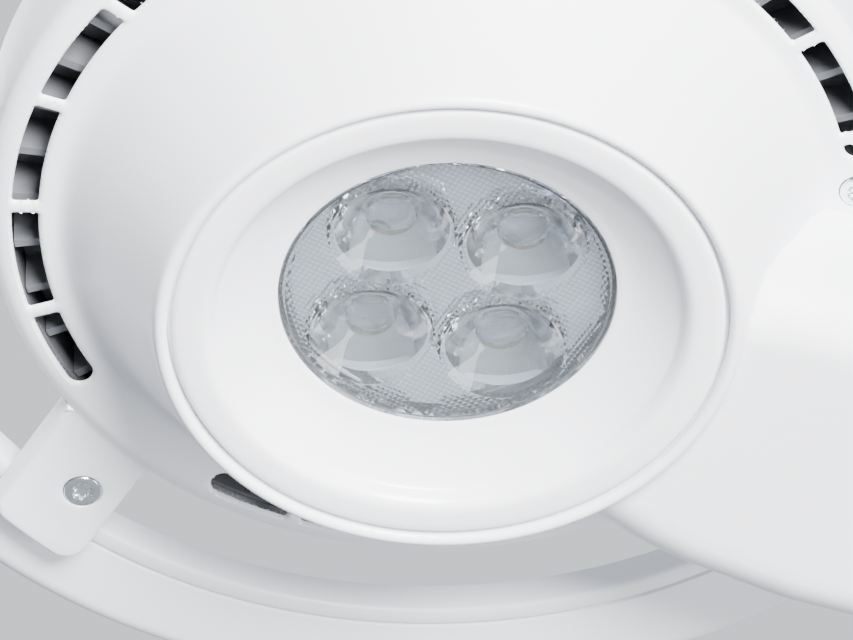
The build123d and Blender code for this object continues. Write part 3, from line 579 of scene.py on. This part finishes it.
def neck_contour(d, step=1.0):
    """Line at distance d outside the neck's flat core, from the +Y side round the end to -Y."""
    points = []
    for x in np.arange(33.0, CORE_END_X + 0.01, step):
        y, (nx, ny) = core_side(x)
        points.append((x + nx * d, y + ny * d))
    nx, ny = core_side(CORE_END_X)[1]
    first = degrees(atan2(ny, nx))
    corner = arc(CORE_END_X, CORE_Y[-1], d, first, 0, 12) if d > 0 else []
    points += corner[1:]
    points += [(CORE_END_X + d, y) for y in np.arange(CORE_Y[-1] - 2, 0, -2)]
    return points + [(x, -y) for x, y in reversed(points)]


def inside_polygon(points, polygon):
    """Which of the points, an (n, 2) array, lie inside a polygon."""
    x, y = points[:, 0], points[:, 1]
    inside = np.zeros(len(points), bool)
    px, py = np.array(polygon).T
    for x0, y0, x1, y1 in zip(px, py, np.roll(px, -1), np.roll(py, -1)):
        if y0 == y1:
            continue
        crosses = (y0 > y) != (y1 > y)
        inside ^= crosses & (x < (x1 - x0) * (y - y0) / (y1 - y0) + x0)
    return inside


class CoverPlan:
    """Points and lines of the front cover seen from the front, before it is meshed."""
    NEAR = 0.25                 # points of a fill keep about this far from others

    def __init__(self):
        self.verts, self.edges = [], []
        self.drops = {}         # how far a point sinks below the face, which rounds an edge
        self.backs = {}         # how far back the wall goes from a point of the outline
        self.known = set()

    def loop(self, points, closed=True, drop=0.0):
        """A line of the plan, and the numbers of its points."""
        first = len(self.verts)
        ids = list(range(first, first + len(points)))
        for index, (x, y) in zip(ids, points):
            self.verts.append(Vector((x, y)))
            self.known.add((round(x / self.NEAR), round(y / self.NEAR)))
            self.drops[index] = drop
        self.edges.extend(zip(ids, ids[1:] + ids[:1] if closed else ids[1:]))
        return ids

    def fill(self, x, y):
        """A loose point, unless another is near."""
        key = (round(x / self.NEAR), round(y / self.NEAR))
        if key not in self.known:
            self.known.add(key)
            self.verts.append(Vector((x, y)))


def plan_holes(plan):
    """Cooling slots and screw holes with their rounded edges; their outlines are given back."""
    holes = []
    for left, right, left_round, right_round in slot_cells():
        for grow, drop in ((0.0, 0.55), (0.22, 0.2), (0.55, 0.0)):
            outline = slot_outline(left, right, left_round, right_round, grow)
            plan.loop(outline, drop=drop)
            if grow == 0.0:
                holes.append(outline)
    for x, y in SCREWS:
        for grow, drop in ((0.0, 0.3), (0.18, 0.08), (0.45, 0.0)):
            outline = arc(x, y, SCREW_HOLE_R + grow, 0, 352.5, 47)
            plan.loop(outline, drop=drop)
            if grow == 0.0:
                holes.append(outline)
    return holes


def neck_root_angle():
    """Where the neck's outline leaves the disc, in degrees from the neck's line."""
    for x in np.arange(40.0, 70.0, 0.02):
        y, (nx, ny) = core_side(x)
        px, py = x + nx * NECK_OUT, y + ny * NECK_OUT
        if hypot(px, py) >= DISC_R:
            return degrees(atan2(py, px))
    raise RuntimeError("the neck never leaves the disc")


def plan_outline(plan):
    """Outline of the disc, the tabs and the neck, with how far back its wall goes."""
    beyond = [(x, y) for x, y in neck_contour(NECK_OUT) if hypot(x, y) > DISC_R + 0.4]
    root = neck_root_angle()
    tab = tab_outline()
    tab_start = degrees(atan2(tab[0][1], tab[0][0]))
    tab_end = degrees(atan2(tab[-1][1], tab[-1][0]))
    side_steps = int(tab_start - root)
    outer = [(p, DISC_BACK_H) for p in arc(0, 0, DISC_R, root, tab_start, side_steps)]
    outer += [(p, TAB_BACK_H) for p in tab[1:-1]]
    outer += [(p, DISC_BACK_H) for p in arc(0, 0, DISC_R, tab_end, 360 - tab_end, int(360 - 2 * tab_end))]
    outer += [((x, -y), TAB_BACK_H) for x, y in reversed(tab[1:-1])]
    outer += [(p, DISC_BACK_H) for p in arc(0, 0, DISC_R, 360 - tab_start, 360 - root, side_steps)]
    outer += [((x, y), NECK_BACK_H) for x, y in reversed(beyond)]
    for index, (_, back) in zip(plan.loop([p for p, _ in outer]), outer):
        plan.backs[index] = back
        if back == TAB_BACK_H:
            plan.drops[index] = 0.9
    return [p for p, _ in outer]


def plan_tabs(plan):
    """Rounded edges of the tabs, and the points of their faces and fillets."""
    for side in (1, -1):
        for inset, drop in ((0.25, 0.35), (0.6, 0.1), (1.0, 0.0)):
            points = [(x, side * y) for x, y in tab_outline(inset)[1:-1]]
            plan.loop(points, closed=False, drop=drop)
        for x in np.arange(TAB_X0 + 2.2, TAB_X1 - 1, 2.05):
            for y in np.arange(69.0, 86.0, 2.0):
                plan.fill(x, side * y)
        for x in np.arange(TAB_X0 + 0.9, TAB_X1 - 0.5, 0.8):
            for r in (64.9, 65.4, 65.9, 66.4, 66.9, 67.4, 67.8):
                plan.fill(x, side * sqrt(r * r - x * x))


def plan_dome(plan):
    """Lip, slope, flange and edge as rings, closer together where the face turns."""
    lip = [41.5, 41.7, 41.95, 42.3, 42.65, 42.95, 43.2, 43.5, 43.9]
    flange = [58.4, 59.2, 60.0, 60.9, 61.8, 62.7, 63.6, 64.4, 64.9, 65.4]
    edge = [65.9, 66.35, 66.75, 67.1, 67.4, 67.65, 67.85, 67.99]
    for index in plan.loop(arc(0, 0, LIP_IN_R, 0, 359, 359)):
        plan.backs[index] = LIP_WALL_H
    for ring, r in enumerate([*lip, *np.arange(44.5, 57.9, 0.7), *flange, *edge]):
        for k in range(360):
            a = radians(k + 0.5 * (ring % 2))
            x, y = r * cos(a), r * sin(a)
            if x > 20 and r > HOOP_R and core_distance(x, y) < NECK_CLEAR:
                continue
            if TAB_X0 - 0.1 < x < TAB_X1 + 0.1 and r > TAB_ROOT_R:
                continue
            plan.fill(x, y)


def plan_neck(plan):
    """Lines along the neck's rounded edge and flank, its flat front and its root on the disc."""
    steps = [0.8, 1.9, 3.0, 4.0, 4.9, 5.7, 6.4, 7.0, 7.5, 7.9, 8.3, 8.6, 8.85, 9.05, 9.22, 9.38, 9.54, 9.7,
             9.86, 10.02, 10.2, 10.38, 10.6, 10.9, 11.3, 11.8, 12.4, 13.1]
    for d in steps:
        for x, y in neck_contour(d, 0.8):
            r = hypot(x, y)
            if r < 44.2 or (r <= HOOP_R and d < 6.0) or (r > 67.7 and d > 10.15):
                continue
            plan.fill(x, y)
    for x in np.arange(45.0, CORE_END_X, 1.6):
        for y in np.arange(-20.0, 20.1, 1.6):
            if hypot(x, y) > HOOP_R + 0.3 and core_distance(x, y) < -0.2:
                plan.fill(x, y)
    for r in (68.1, 68.25, 68.4, 68.6, 68.9):
        for a in np.arange(14.0, 27.0, 0.25):
            x, y = r * cos(radians(a)), r * sin(radians(a))
            if 6.0 < core_distance(x, y) < 10.1:
                plan.fill(x, y)
                plan.fill(x, -y)


def draw_walls(obj, wall):
    """Pulls the outline back to the depth of its wall at each point, and turns the faces outwards."""
    bm = bmesh.new()
    bm.from_mesh(obj.data)
    bm.verts.ensure_lookup_table()
    mark = bm.verts.layers.float.new("back")
    for n, back in wall.items():
        bm.verts[n][mark] = back
    rims = [e for e in bm.edges if e.is_boundary and all(v[mark] > 0 for v in e.verts)]
    made = bmesh.ops.extrude_edge_only(bm, edges=rims)["geom"]
    for vertex in [g for g in made if isinstance(g, bmesh.types.BMVert)]:
        vertex.co.z = max(vertex.co.z + 0.02 * MM, LIP_Z + vertex[mark] * MM)
    bmesh.ops.delete(bm, geom=[v for v in bm.verts if not v.link_faces], context="VERTS")
    bmesh.ops.recalc_face_normals(bm, faces=bm.faces)
    lowest = min(bm.faces, key=lambda f: f.calc_center_median().z)
    if lowest.normal.z > 0:
        bmesh.ops.reverse_faces(bm, faces=bm.faces)
    bm.to_mesh(obj.data)
    bm.free()


def build_front_cover():
    """Face meshed on the plan and raised to its heights, walls drawn back, thickened, inner tube."""
    plan = CoverPlan()
    holes = plan_holes(plan)
    outline = plan_outline(plan)
    plan_tabs(plan)
    plan_dome(plan)
    plan_neck(plan)
    result = delaunay_2d_cdt(plan.verts, plan.edges, [], 0, 1e-6)
    points = np.array([tuple(v) for v in result[0]])
    tris = np.array(result[2])
    origins = result[3]
    middle = points[tris].mean(axis=1)
    keep = inside_polygon(middle, outline)
    lip_flat_r = LIP_IN_R * cos(radians(0.5)) * 0.99999
    keep &= np.hypot(middle[:, 0], middle[:, 1]) > lip_flat_r
    for hole in holes:
        keep &= ~inside_polygon(middle, hole)
    drops = [max([plan.drops.get(i, 0.0) for i in ids] or [0.0]) for ids in origins]
    face = [at(x, y, cover_height(x, y) + drop) for (x, y), drop in zip(points, drops)]
    obj = mesh_object("front_cover_shell", face, [tuple(int(i) for i in reversed(t)) for t in tris[keep]])
    draw_walls(obj, {n: plan.backs[i] for n, ids in enumerate(origins) for i in ids if i in plan.backs})
    finish_modifier(obj, "SOLIDIFY", "Wall", thickness=WALL * MM, offset=-1.0, use_even_offset=False,
                    use_rim=True)
    tube = turn("inner wall", [(65.6, 31.4), (67.8, 31.4), (67.8, DISC_BACK_H), (65.6, DISC_BACK_H)])
    obj = join(obj, tube)
    smooth(obj, 32)
    return obj


# ---------------------------------------------------------------- operators
class DENTAL_LIGHT_OT_front_cover(bpy.types.Operator):
    """Shell of the pod, its flange with cooling slots, the neck and the two tabs"""
    bl_idname = "dental_light.front_cover"
    bl_label = "Front cover"

    def execute(self, context):
        dress(build_front_cover(), "lamp_head", "white_shell", "front_cover")
        return {"FINISHED"}


class DENTAL_LIGHT_OT_bezel(bpy.types.Operator):
    """Bezel ring round the lens panel, with its sloping floor and rolled face"""
    bl_idname = "dental_light.bezel"
    bl_label = "Bezel"

    def execute(self, context):
        floor = [(24.95, 8.4), (25.0, 7.95), (25.3, 7.75)]
        floor += [(25.3 + (FUNNEL_R - 25.3) * t, 7.75 - 4.85 * (t ** 1.45))
                  for t in np.linspace(0.1, 0.97, 14)]
        roll = [(34.2, 2.85), (34.32, 2.6), (34.5, 2.2), (34.8, 1.6), (35.2, 1.05), (35.7, 0.66),
                (36.3, 0.44), (37.2, 0.36), (39.0, 0.38), (39.9, 0.42), (40.3, 0.55), (40.55, 0.8),
                (40.65, 1.2), (40.68, 2.0), (41.3, 2.15)]
        back = [(41.3, 10.9), (38.9, 10.9), (38.9, 3.8), (36.2, 5.1), (30.0, 8.4), (26.5, 10.7),
                (24.95, 10.7)]
        obj = turn("bezel_trim", floor + roll + back, steps=320)
        smooth(obj, 30)
        dress(obj, "lamp_head", "white_trim", "bezel_ring")
        return {"FINISHED"}


def lens_places():
    """Axes of the four optics."""
    return [(LENS_PCD_R * cos(radians(LENS_TURN + 90 * k)), LENS_PCD_R * sin(radians(LENS_TURN + 90 * k)))
            for k in range(4)]


class DENTAL_LIGHT_OT_lens_panel(bpy.types.Operator):
    """Clear lens panel: four funnels over collimator bodies, with fine pyramids between them"""
    bl_idname = "dental_light.lens_panel"
    bl_label = "Lens panel"

    def execute(self, context):
        look = context.scene.dental_light
        pitch = look.scale_pitch
        rim_r = LENS_R - 0.9
        verts, edges, heights, flush = [], [], {}, {}
        sides = 72
        circles = [arc(x, y, APERTURE_R, 0, 360 - 360 / sides, sides - 1) for x, y in lens_places()]
        outer = arc(0, 0, LENS_R, 0, 358, 179)
        inner = arc(0, 0, rim_r, 0, 358, 179)

        def add_loop(points):
            first = len(verts)
            verts.extend(Vector(p) for p in points)
            edges.extend((first + k, first + (k + 1) % len(points)) for k in range(len(points)))

        for circle in circles:
            add_loop(circle)
        add_loop(outer)
        add_loop(inner)
        clear = [(20.6 * cos(radians(68.5 + 90 * k)), 20.6 * sin(radians(68.5 + 90 * k))) for k in range(4)]
        count = int(LENS_R / pitch) + 2
        for i in range(-2 * count, 2 * count + 1):
            for j in range(-2 * count, 2 * count + 1):
                x, y = i * pitch / 2, j * pitch / 2
                if (i + j) % 2 or hypot(x, y) > rim_r - 0.25:
                    continue
                if any(hypot(x - cx, y - cy) < APERTURE_R + 0.22 for cx, cy in lens_places()):
                    continue
                flat = any(hypot(x - cx, y - cy) < look.patch_radius for cx, cy in clear)
                if i % 2 and not flat:
                    heights[len(verts)] = look.scale_depth
                elif i % 2 == 0:
                    flush[(i, j)] = len(verts)
                verts.append(Vector((x, y)))
        for (i, j), index in flush.items():
            edges.extend((index, flush[near]) for near in ((i + 2, j), (i, j + 2)) if near in flush)
        for k in range(180):
            a = radians(2 * k + 1)
            r = (rim_r + LENS_R) / 2
            heights[len(verts)] = 0.18
            verts.append(Vector((r * cos(a), r * sin(a))))
        result = delaunay_2d_cdt(verts, edges, [], 0, 1e-6)
        points = np.array([tuple(v) for v in result[0]])
        tris = np.array(result[2])
        middle = points[tris].mean(axis=1)
        keep = inside_polygon(middle, outer)
        for circle in circles:
            keep &= ~inside_polygon(middle, circle)
        front = [at(x, y, LENS_H + max([heights.get(i, 0.0) for i in ids] or [0.0]))
                 for (x, y), ids in zip(points, result[3])]
        faces = [tuple(int(i) for i in reversed(t)) for t in tris[keep]]
        pieces = [mesh_object("lens_panel", front, faces)]
        # flat back and edge
        back_verts = [Vector(p) for p in outer]
        back_edges = [(k, (k + 1) % len(outer)) for k in range(len(outer))]
        for circle in circles:
            first = len(back_verts)
            back_verts.extend(Vector(p) for p in circle)
            back_edges.extend((first + k, first + (k + 1) % sides) for k in range(sides))
        result = delaunay_2d_cdt(back_verts, back_edges, [], 0, 1e-6)
        points = np.array([tuple(v) for v in result[0]])
        tris = np.array(result[2])
        middle = points[tris].mean(axis=1)
        keep = inside_polygon(middle, outer)
        for circle in circles:
            keep &= ~inside_polygon(middle, circle)
        pieces.append(mesh_object("back", [at(x, y, LENS_BACK_H) for x, y in points],
                                  [tuple(int(i) for i in t) for t in tris[keep]]))
        rows = [(LENS_R, LENS_H), (LENS_R, LENS_BACK_H)]
        pieces.append(self.skin("edge", 0, 0, rows, [(x / LENS_R, y / LENS_R) for x, y in outer]))
        # funnel in front, collimator behind and the space round the chip
        inner_rows = [(APERTURE_R, LENS_H), (8.9, 8.0), (8.2, 8.45), (7.4, 9.05), (6.5, 9.8), (5.6, 10.6),
                      (4.8, 11.35), (4.2, 11.9), (PIT_R + 0.2, 12.2), (PIT_R - 0.1, 12.3), (2.9, 12.15),
                      (2.0, 11.85), (1.0, 11.62), (0.0, 11.55)]
        outer_rows = [(APERTURE_R, LENS_BACK_H), (8.7, 12.2), (8.0, 14.0), (7.2, 15.8), (6.3, 17.6),
                      (5.5, 19.0), (4.9, 20.3), (PIT_R, 20.3), (PIT_R - 0.15, 17.0), (PIT_R - 0.3, 15.4),
                      (2.4, 15.0), (1.2, 14.75), (0.0, 14.65)]
        unit = arc(0, 0, 1, 0, 360 - 360 / sides, sides - 1)
        for x, y in lens_places():
            pieces.append(self.skin("funnel", x, y, inner_rows, unit))
            pieces.append(self.skin("collimator", x, y, outer_rows, unit))
        obj = join(*pieces)
        tidy_normals(obj)
        smooth(obj, 20)
        dress(obj, "lamp_head", "clear_lens", "lens_cluster")
        return {"FINISHED"}

    def skin(self, name, x, y, rows, unit):
        """Surface of revolution about an upright axis, on given directions."""
        verts, faces, count = [], [], len(unit)
        for r, h in rows:
            verts += [at(x + r * ux, y + r * uy, h) for ux, uy in unit]
        for row in range(len(rows) - 1):
            for k in range(count):
                a, b = row * count + k, row * count + (k + 1) % count
                faces.append((a, b, b + count, a + count))
        return mesh_object(name, verts, faces)


class DENTAL_LIGHT_OT_emitters(bpy.types.Operator):
    """Phosphor domes on their chips, one behind each lens"""
    bl_idname = "dental_light.emitters"
    bl_label = "Emitters"

    def execute(self, context):
        cap = [(2.6 * sin(radians(a)), 20.6 - 1.7 * cos(radians(a))) for a in range(12, 90, 8)]
        dome = [(0, 18.9), *cap, (2.7, 20.75), (2.7, 20.98), (0, 20.98)]
        pieces = []
        for x, y in lens_places():
            pieces.append(turn("emitter", dome, steps=48, centre=at(x, y, 0)))
        obj = join(*pieces)
        obj.name = obj.data.name = "phosphor_domes"
        smooth(obj, 40)
        dress(obj, "lamp_head", "led_phosphor", "led_emitters")
        return {"FINISHED"}


class DENTAL_LIGHT_OT_rings(bpy.types.Operator):
    """Handle ring with its rounded outer edge, and the inner ring with lugs and ears that carries it"""
    bl_idname = "dental_light.rings"
    bl_label = "Handle rings"

    def execute(self, context):
        h0, h1 = RING_H, RING_H + GRIP_H
        grip = [(87.9, h0 + 0.45), (88.05, h0 + 0.12), (88.4, h0)]
        grip += arc(RING_OUT_R - GRIP_H / 2, (h0 + h1) / 2, GRIP_H / 2, -90, 90, 20)
        grip += [(88.4, h1), (87.9, h1 - 0.4)]
        obj = turn("handle_grip", grip, steps=360)
        smooth(obj, 40)
        dress(obj, "lamp_head", "white_shell", "handle_ring")
        back = RING_H + CARRIER_H
        hoop = [(84.5, h0 + 0.7), (84.75, h0 + 0.2), (85.2, h0), (87.0, h0), (87.4, h0 + 0.15),
                (87.55, h0 + 0.5), (87.55, back - 0.3), (87.3, back), (84.8, back), (84.5, back - 0.3)]
        ring = turn("ring_hoop", hoop, steps=360)
        smooth(ring, 40)
        parts = [ring]
        for side in (1, -1):
            lo, hi = sorted((side * 68.4, side * 82.0))
            corners = (TAB_X0 + 2.6, lo, RING_H), (TAB_X1 - 2.6, hi, back - 0.02)
            parts.append(rounded_block("lug", *corners, 0.6))
            lo, hi = sorted((side * 15.4, side * 24.4))
            parts.append(rounded_block("ear", (74.0, lo, RING_H + 0.02), (85.2, hi, back - 0.04), 1.6))
        obj = join(*parts)
        obj.name = obj.data.name = "ring_carrier_hoop"
        dress(obj, "lamp_head", "white_shell", "ring_carrier")
        return {"FINISHED"}


class DENTAL_LIGHT_OT_cover_screws(bpy.types.Operator):
    """Countersunk Torx screws in the flange and the tabs"""
    bl_idname = "dental_light.cover_screws"
    bl_label = "Cover screws"

    def execute(self, context):
        head_r, socket_depth = 2.85, 1.1
        profile = [(0.0, 9.4), (1.5, 9.4), (1.5, 1.85), (head_r, 0.42), (head_r, 0.2),
                   (head_r - 0.12, 0.08), (head_r - 0.35, 0.03), (1.85, 0.0), (1.7, 0.06), (1.62, 0.25),
                   (1.62, socket_depth - 0.35), (0.0, socket_depth)]
        lobes = 6
        made = []
        for x, y in SCREWS:
            level = TAB_H if x < 0 else FLANGE_H
            obj = turn("screw", profile, steps=72, centre=at(x, y, level))
            centre = at(x, y, level)
            for vertex in obj.data.vertices:
                away = vertex.co - centre
                r = hypot(away.x, away.y) / MM
                if 1.4 < r < 1.68 and away.z / MM < socket_depth + 0.1:
                    swing = 0.86 + 0.14 * cos(lobes * atan2(away.y, away.x))
                    vertex.co.x = centre.x + away.x * swing
                    vertex.co.y = centre.y + away.y * swing
            smooth(obj, 28)
            made.append(obj)
        obj = join(*made)
        obj.name = obj.data.name = "countersunk_screws"
        dress(obj, "lamp_head", "zinc_screw", "cover_screws")
        return {"FINISHED"}


class DENTAL_LIGHT_OT_outer_pieces(bpy.types.Operator):
    """Rear cover, neck lid, yoke, elbow, caps, spigot and button with their edges rounded"""
    bl_idname = "dental_light.outer_pieces"
    bl_label = "Outer pieces"

    def execute(self, context):
        pieces = [
            ("rear_cover", "rear_shell", "lamp_head", "white_shell", 0.5),
            ("neck_back_cover", "neck_lid", "lamp_head", "white_shell", 0.4),
            ("neck_frame", "neck_casting", "lamp_head", "cast_metal", 0.5),
            ("yoke", "fork", "yoke_link", "painted_casting", 0.9),
            ("elbow", "elbow_casting", "elbow_link", "painted_casting", 0.8),
            ("elbow_cap", "elbow_plug", "elbow_link", "white_trim", 0.3),
            ("axle_caps", "hinge_caps", "yoke_link", "white_trim", 0.3),
            ("swivel_spigot", "spigot_pin", "spigot", "turned_steel", 0.3),
            ("power_button", "push_button", "button", "button_plastic", 0.2),
        ]
        for node, name, body, slot, width in pieces:
            dress(softened(node, name, width), body, slot, node)
        return {"FINISHED"}


class DENTAL_LIGHT_OT_heat_sink(bpy.types.Operator):
    """Finned heat sink with the band that ties its fins together at the rim"""
    bl_idname = "dental_light.heat_sink"
    bl_label = "Heat sink"

    def execute(self, context):
        sink = softened("heat_sink", "fin_plate", 0.0)
        band = turn("band", [(64.55, 28.6), (65.2, 28.6), (65.2, 38.8), (64.55, 38.8)], steps=180)
        smooth(band)
        obj = join(sink, band)
        dress(obj, "lamp_head", "dark_fins", "heat_sink")
        return {"FINISHED"}


class DENTAL_LIGHT_OT_inner_finishes(bpy.types.Operator):
    """Materials of the pieces that keep their CAD shape"""
    bl_idname = "dental_light.inner_finishes"
    bl_label = "Inner finishes"

    def execute(self, context):
        slot_of = {row["node"]: row["material_slot"] for row in frame["record"]["subparts"]}
        for node, obj in frame["nodes"].items():
            slot = slot_of.get(node)
            if slot is None:
                raise RuntimeError(f"no record slot names {node}")
            obj.data.materials.clear()
            obj.data.materials.append(material(slot))
        return {"FINISHED"}


class DENTAL_LIGHT_OT_stage(bpy.types.Operator):
    """Floor, soft studio light and the camera"""
    bl_idname = "dental_light.stage"
    bl_label = "Stage"

    def execute(self, context):
        look = context.scene.dental_light
        start()
        bpy.ops.mesh.primitive_plane_add(size=40, location=(0, 0, -look.floor_depth))
        floor = bpy.context.object
        floor.name = "Studio floor"
        settle(floor)
        pale = finish("Pale floor", (0.72, 0.73, 0.74), 0.01, 0.9, 0.03, 0.5, 20, 1e-4)
        floor.data.materials.append(pale)
        world = context.scene.world or bpy.data.worlds.new("World")
        context.scene.world = world
        world.use_nodes = True
        tree = world.node_tree
        backdrop = tree.nodes["Background"]
        backdrop.inputs["Color"].default_value = (*look.backdrop_colour, 1)
        room = tree.nodes.new("ShaderNodeBackground")
        room.inputs["Color"].default_value = (*look.room_colour, 1)
        seen = tree.nodes.new("ShaderNodeLightPath")
        mix = tree.nodes.new("ShaderNodeMixShader")
        tree.links.new(seen.outputs["Is Camera Ray"], mix.inputs["Fac"])
        tree.links.new(room.outputs["Background"], mix.inputs[1])
        tree.links.new(backdrop.outputs["Background"], mix.inputs[2])
        tree.links.new(mix.outputs["Shader"], tree.nodes["World Output"].inputs["Surface"])
        # camera looking up into the lamp
        turn_away, tilt = radians(look.camera_turn), radians(look.camera_tilt)
        roll = radians(look.camera_roll)
        across = Vector((cos(roll), sin(roll), 0.0))
        up_slope = Vector((-sin(roll) * cos(tilt), cos(roll) * cos(tilt), sin(tilt)))
        shine = Vector((-sin(roll) * sin(tilt), cos(roll) * sin(tilt), -cos(tilt)))
        along_neck = cos(turn_away) * across + sin(turn_away) * up_slope
        along_y = -sin(turn_away) * across + cos(turn_away) * up_slope
        axes = [Vector((along_neck[i], along_y[i], -shine[i])).normalized() for i in range(3)]
        centre = at(0, 0, LENS_H)
        eye = centre - (3.1 * axes[0] - 3.82 * axes[1] + 1500.0 * axes[2]) * MM
        camera = bpy.data.cameras.new("Camera")
        camera.lens = look.camera_lens
        camera.clip_end = 60
        camera_object = bpy.data.objects.new("Camera", camera)
        context.scene.collection.objects.link(camera_object)
        right, up, back = axes[0], -axes[1], -axes[2]
        rotation = Matrix((right, up, back)).transposed()
        camera_object.matrix_world = Matrix.Translation(eye) @ rotation.to_4x4()
        context.scene.camera = camera_object
        # soft boxes: place from the lamp in camera directions (right, up, towards the camera), size, watts
        for name, (x, y, z), size, power in (
            ("Front soft box", (0.58, 0.6, 1.82), 0.9, look.front_light),
            ("Low soft box", (1.5, -0.9, 1.0), 1.2, look.low_light),
            ("Back soft box", (-0.8, 0.9, -2.2), 1.6, look.back_light),
        ):
            lamp = bpy.data.lights.new(name, "AREA")
            lamp.shape = "DISK"
            lamp.size = size
            lamp.energy = power
            obj = bpy.data.objects.new(name, lamp)
            context.scene.collection.objects.link(obj)
            spot = centre + right * x + up * y + back * z
            aim = (spot - centre).to_track_quat("Z", "Y")
            obj.matrix_world = Matrix.Translation(spot) @ aim.to_matrix().to_4x4()
        return {"FINISHED"}


class DENTAL_LIGHT_PG_look(bpy.types.PropertyGroup):
    shell_colour: FloatVectorProperty(name="Shell colour", description="White of the covers and the handle",
                                      default=(0.865, 0.875, 0.915), subtype="COLOR", min=0, max=1)
    trim_colour: FloatVectorProperty(name="Trim colour", description="White of the bezel and caps",
                                     default=(0.86, 0.87, 0.91), subtype="COLOR", min=0, max=1)
    lens_colour: FloatVectorProperty(name="Lens colour", description="Tint of the clear lens panel",
                                     default=(0.9, 0.95, 1.0), subtype="COLOR", min=0, max=1)
    fin_colour: FloatVectorProperty(name="Fin colour", description="Anodised colour of the heat sink",
                                    default=(0.17, 0.175, 0.19), subtype="COLOR", min=0, max=1)
    screw_colour: FloatVectorProperty(name="Screw colour", description="Zinc plate of the screws",
                                      default=(0.78, 0.82, 0.84), subtype="COLOR", min=0, max=1)
    backdrop_colour: FloatVectorProperty(name="Backdrop colour", description="Colour behind the light",
                                         default=(0.93, 0.97, 1.04), subtype="COLOR", min=0, max=4)
    room_colour: FloatVectorProperty(name="Room colour", description="Soft light from all round",
                                     default=(0.60, 0.635, 0.685), subtype="COLOR", min=0, max=4)
    scale_pitch: FloatProperty(name="Pyramid pitch", default=0.8, min=0.3, max=3,
                               description="Spacing of the pyramids on the lens panel, mm")
    scale_depth: FloatProperty(name="Pyramid depth", description="Height of the pyramids, mm",
                               default=0.22, min=0, max=1)
    patch_radius: FloatProperty(name="Clear patch", description="Radius of the flat patches, mm",
                                default=2.6, min=0, max=5)
    floor_depth: FloatProperty(name="Floor", description="Depth of the floor under the mount", default=5.5,
                               unit="LENGTH")
    camera_turn: FloatProperty(name="Camera turn", description="Turn of the neck in the view, degrees",
                               default=32.5)
    camera_tilt: FloatProperty(name="Camera tilt", description="Angle off the lamp's axis, degrees",
                               default=40.79)
    camera_roll: FloatProperty(name="Camera roll", description="Roll of the view, degrees", default=-2.26)
    camera_lens: FloatProperty(name="Lens", description="Focal length in millimetres", default=430.5)
    front_light: FloatProperty(name="Front light", description="Power of the front soft box", default=262,
                               unit="POWER")
    low_light: FloatProperty(name="Low light", description="Power of the soft box low in front", default=40,
                             unit="POWER")
    back_light: FloatProperty(name="Back light", description="Power of the soft box behind", default=60,
                              unit="POWER")


class DENTAL_LIGHT_PT_panel(bpy.types.Panel):
    bl_idname = "DENTAL_LIGHT_PT_panel"
    bl_label = "Dental Light"
    bl_space_type = "VIEW_3D"
    bl_region_type = "UI"
    bl_category = "Dental Light"

    def draw(self, context):
        column = self.layout.column()
        for operator in OPERATORS:
            column.operator(operator.bl_idname)
        look = context.scene.dental_light
        for name in look.bl_rna.properties.keys():
            if name not in ("rna_type", "name"):
                column.prop(look, name)


OPERATORS = (
    DENTAL_LIGHT_OT_stage,
    DENTAL_LIGHT_OT_inner_finishes,
    DENTAL_LIGHT_OT_front_cover,
    DENTAL_LIGHT_OT_bezel,
    DENTAL_LIGHT_OT_lens_panel,
    DENTAL_LIGHT_OT_emitters,
    DENTAL_LIGHT_OT_rings,
    DENTAL_LIGHT_OT_cover_screws,
    DENTAL_LIGHT_OT_outer_pieces,
    DENTAL_LIGHT_OT_heat_sink,
)
CLASSES = (DENTAL_LIGHT_PG_look, *OPERATORS, DENTAL_LIGHT_PT_panel)


def register():
    for cls in CLASSES:
        bpy.utils.register_class(cls)
    bpy.types.Scene.dental_light = PointerProperty(type=DENTAL_LIGHT_PG_look)


def unregister():
    del bpy.types.Scene.dental_light
    for cls in reversed(CLASSES):
        bpy.utils.unregister_class(cls)


def main():
    register()
    for operator in OPERATORS:
        group, name = operator.bl_idname.split(".")
        getattr(getattr(bpy.ops, group), name)()


if __name__ == "__main__":
    main()
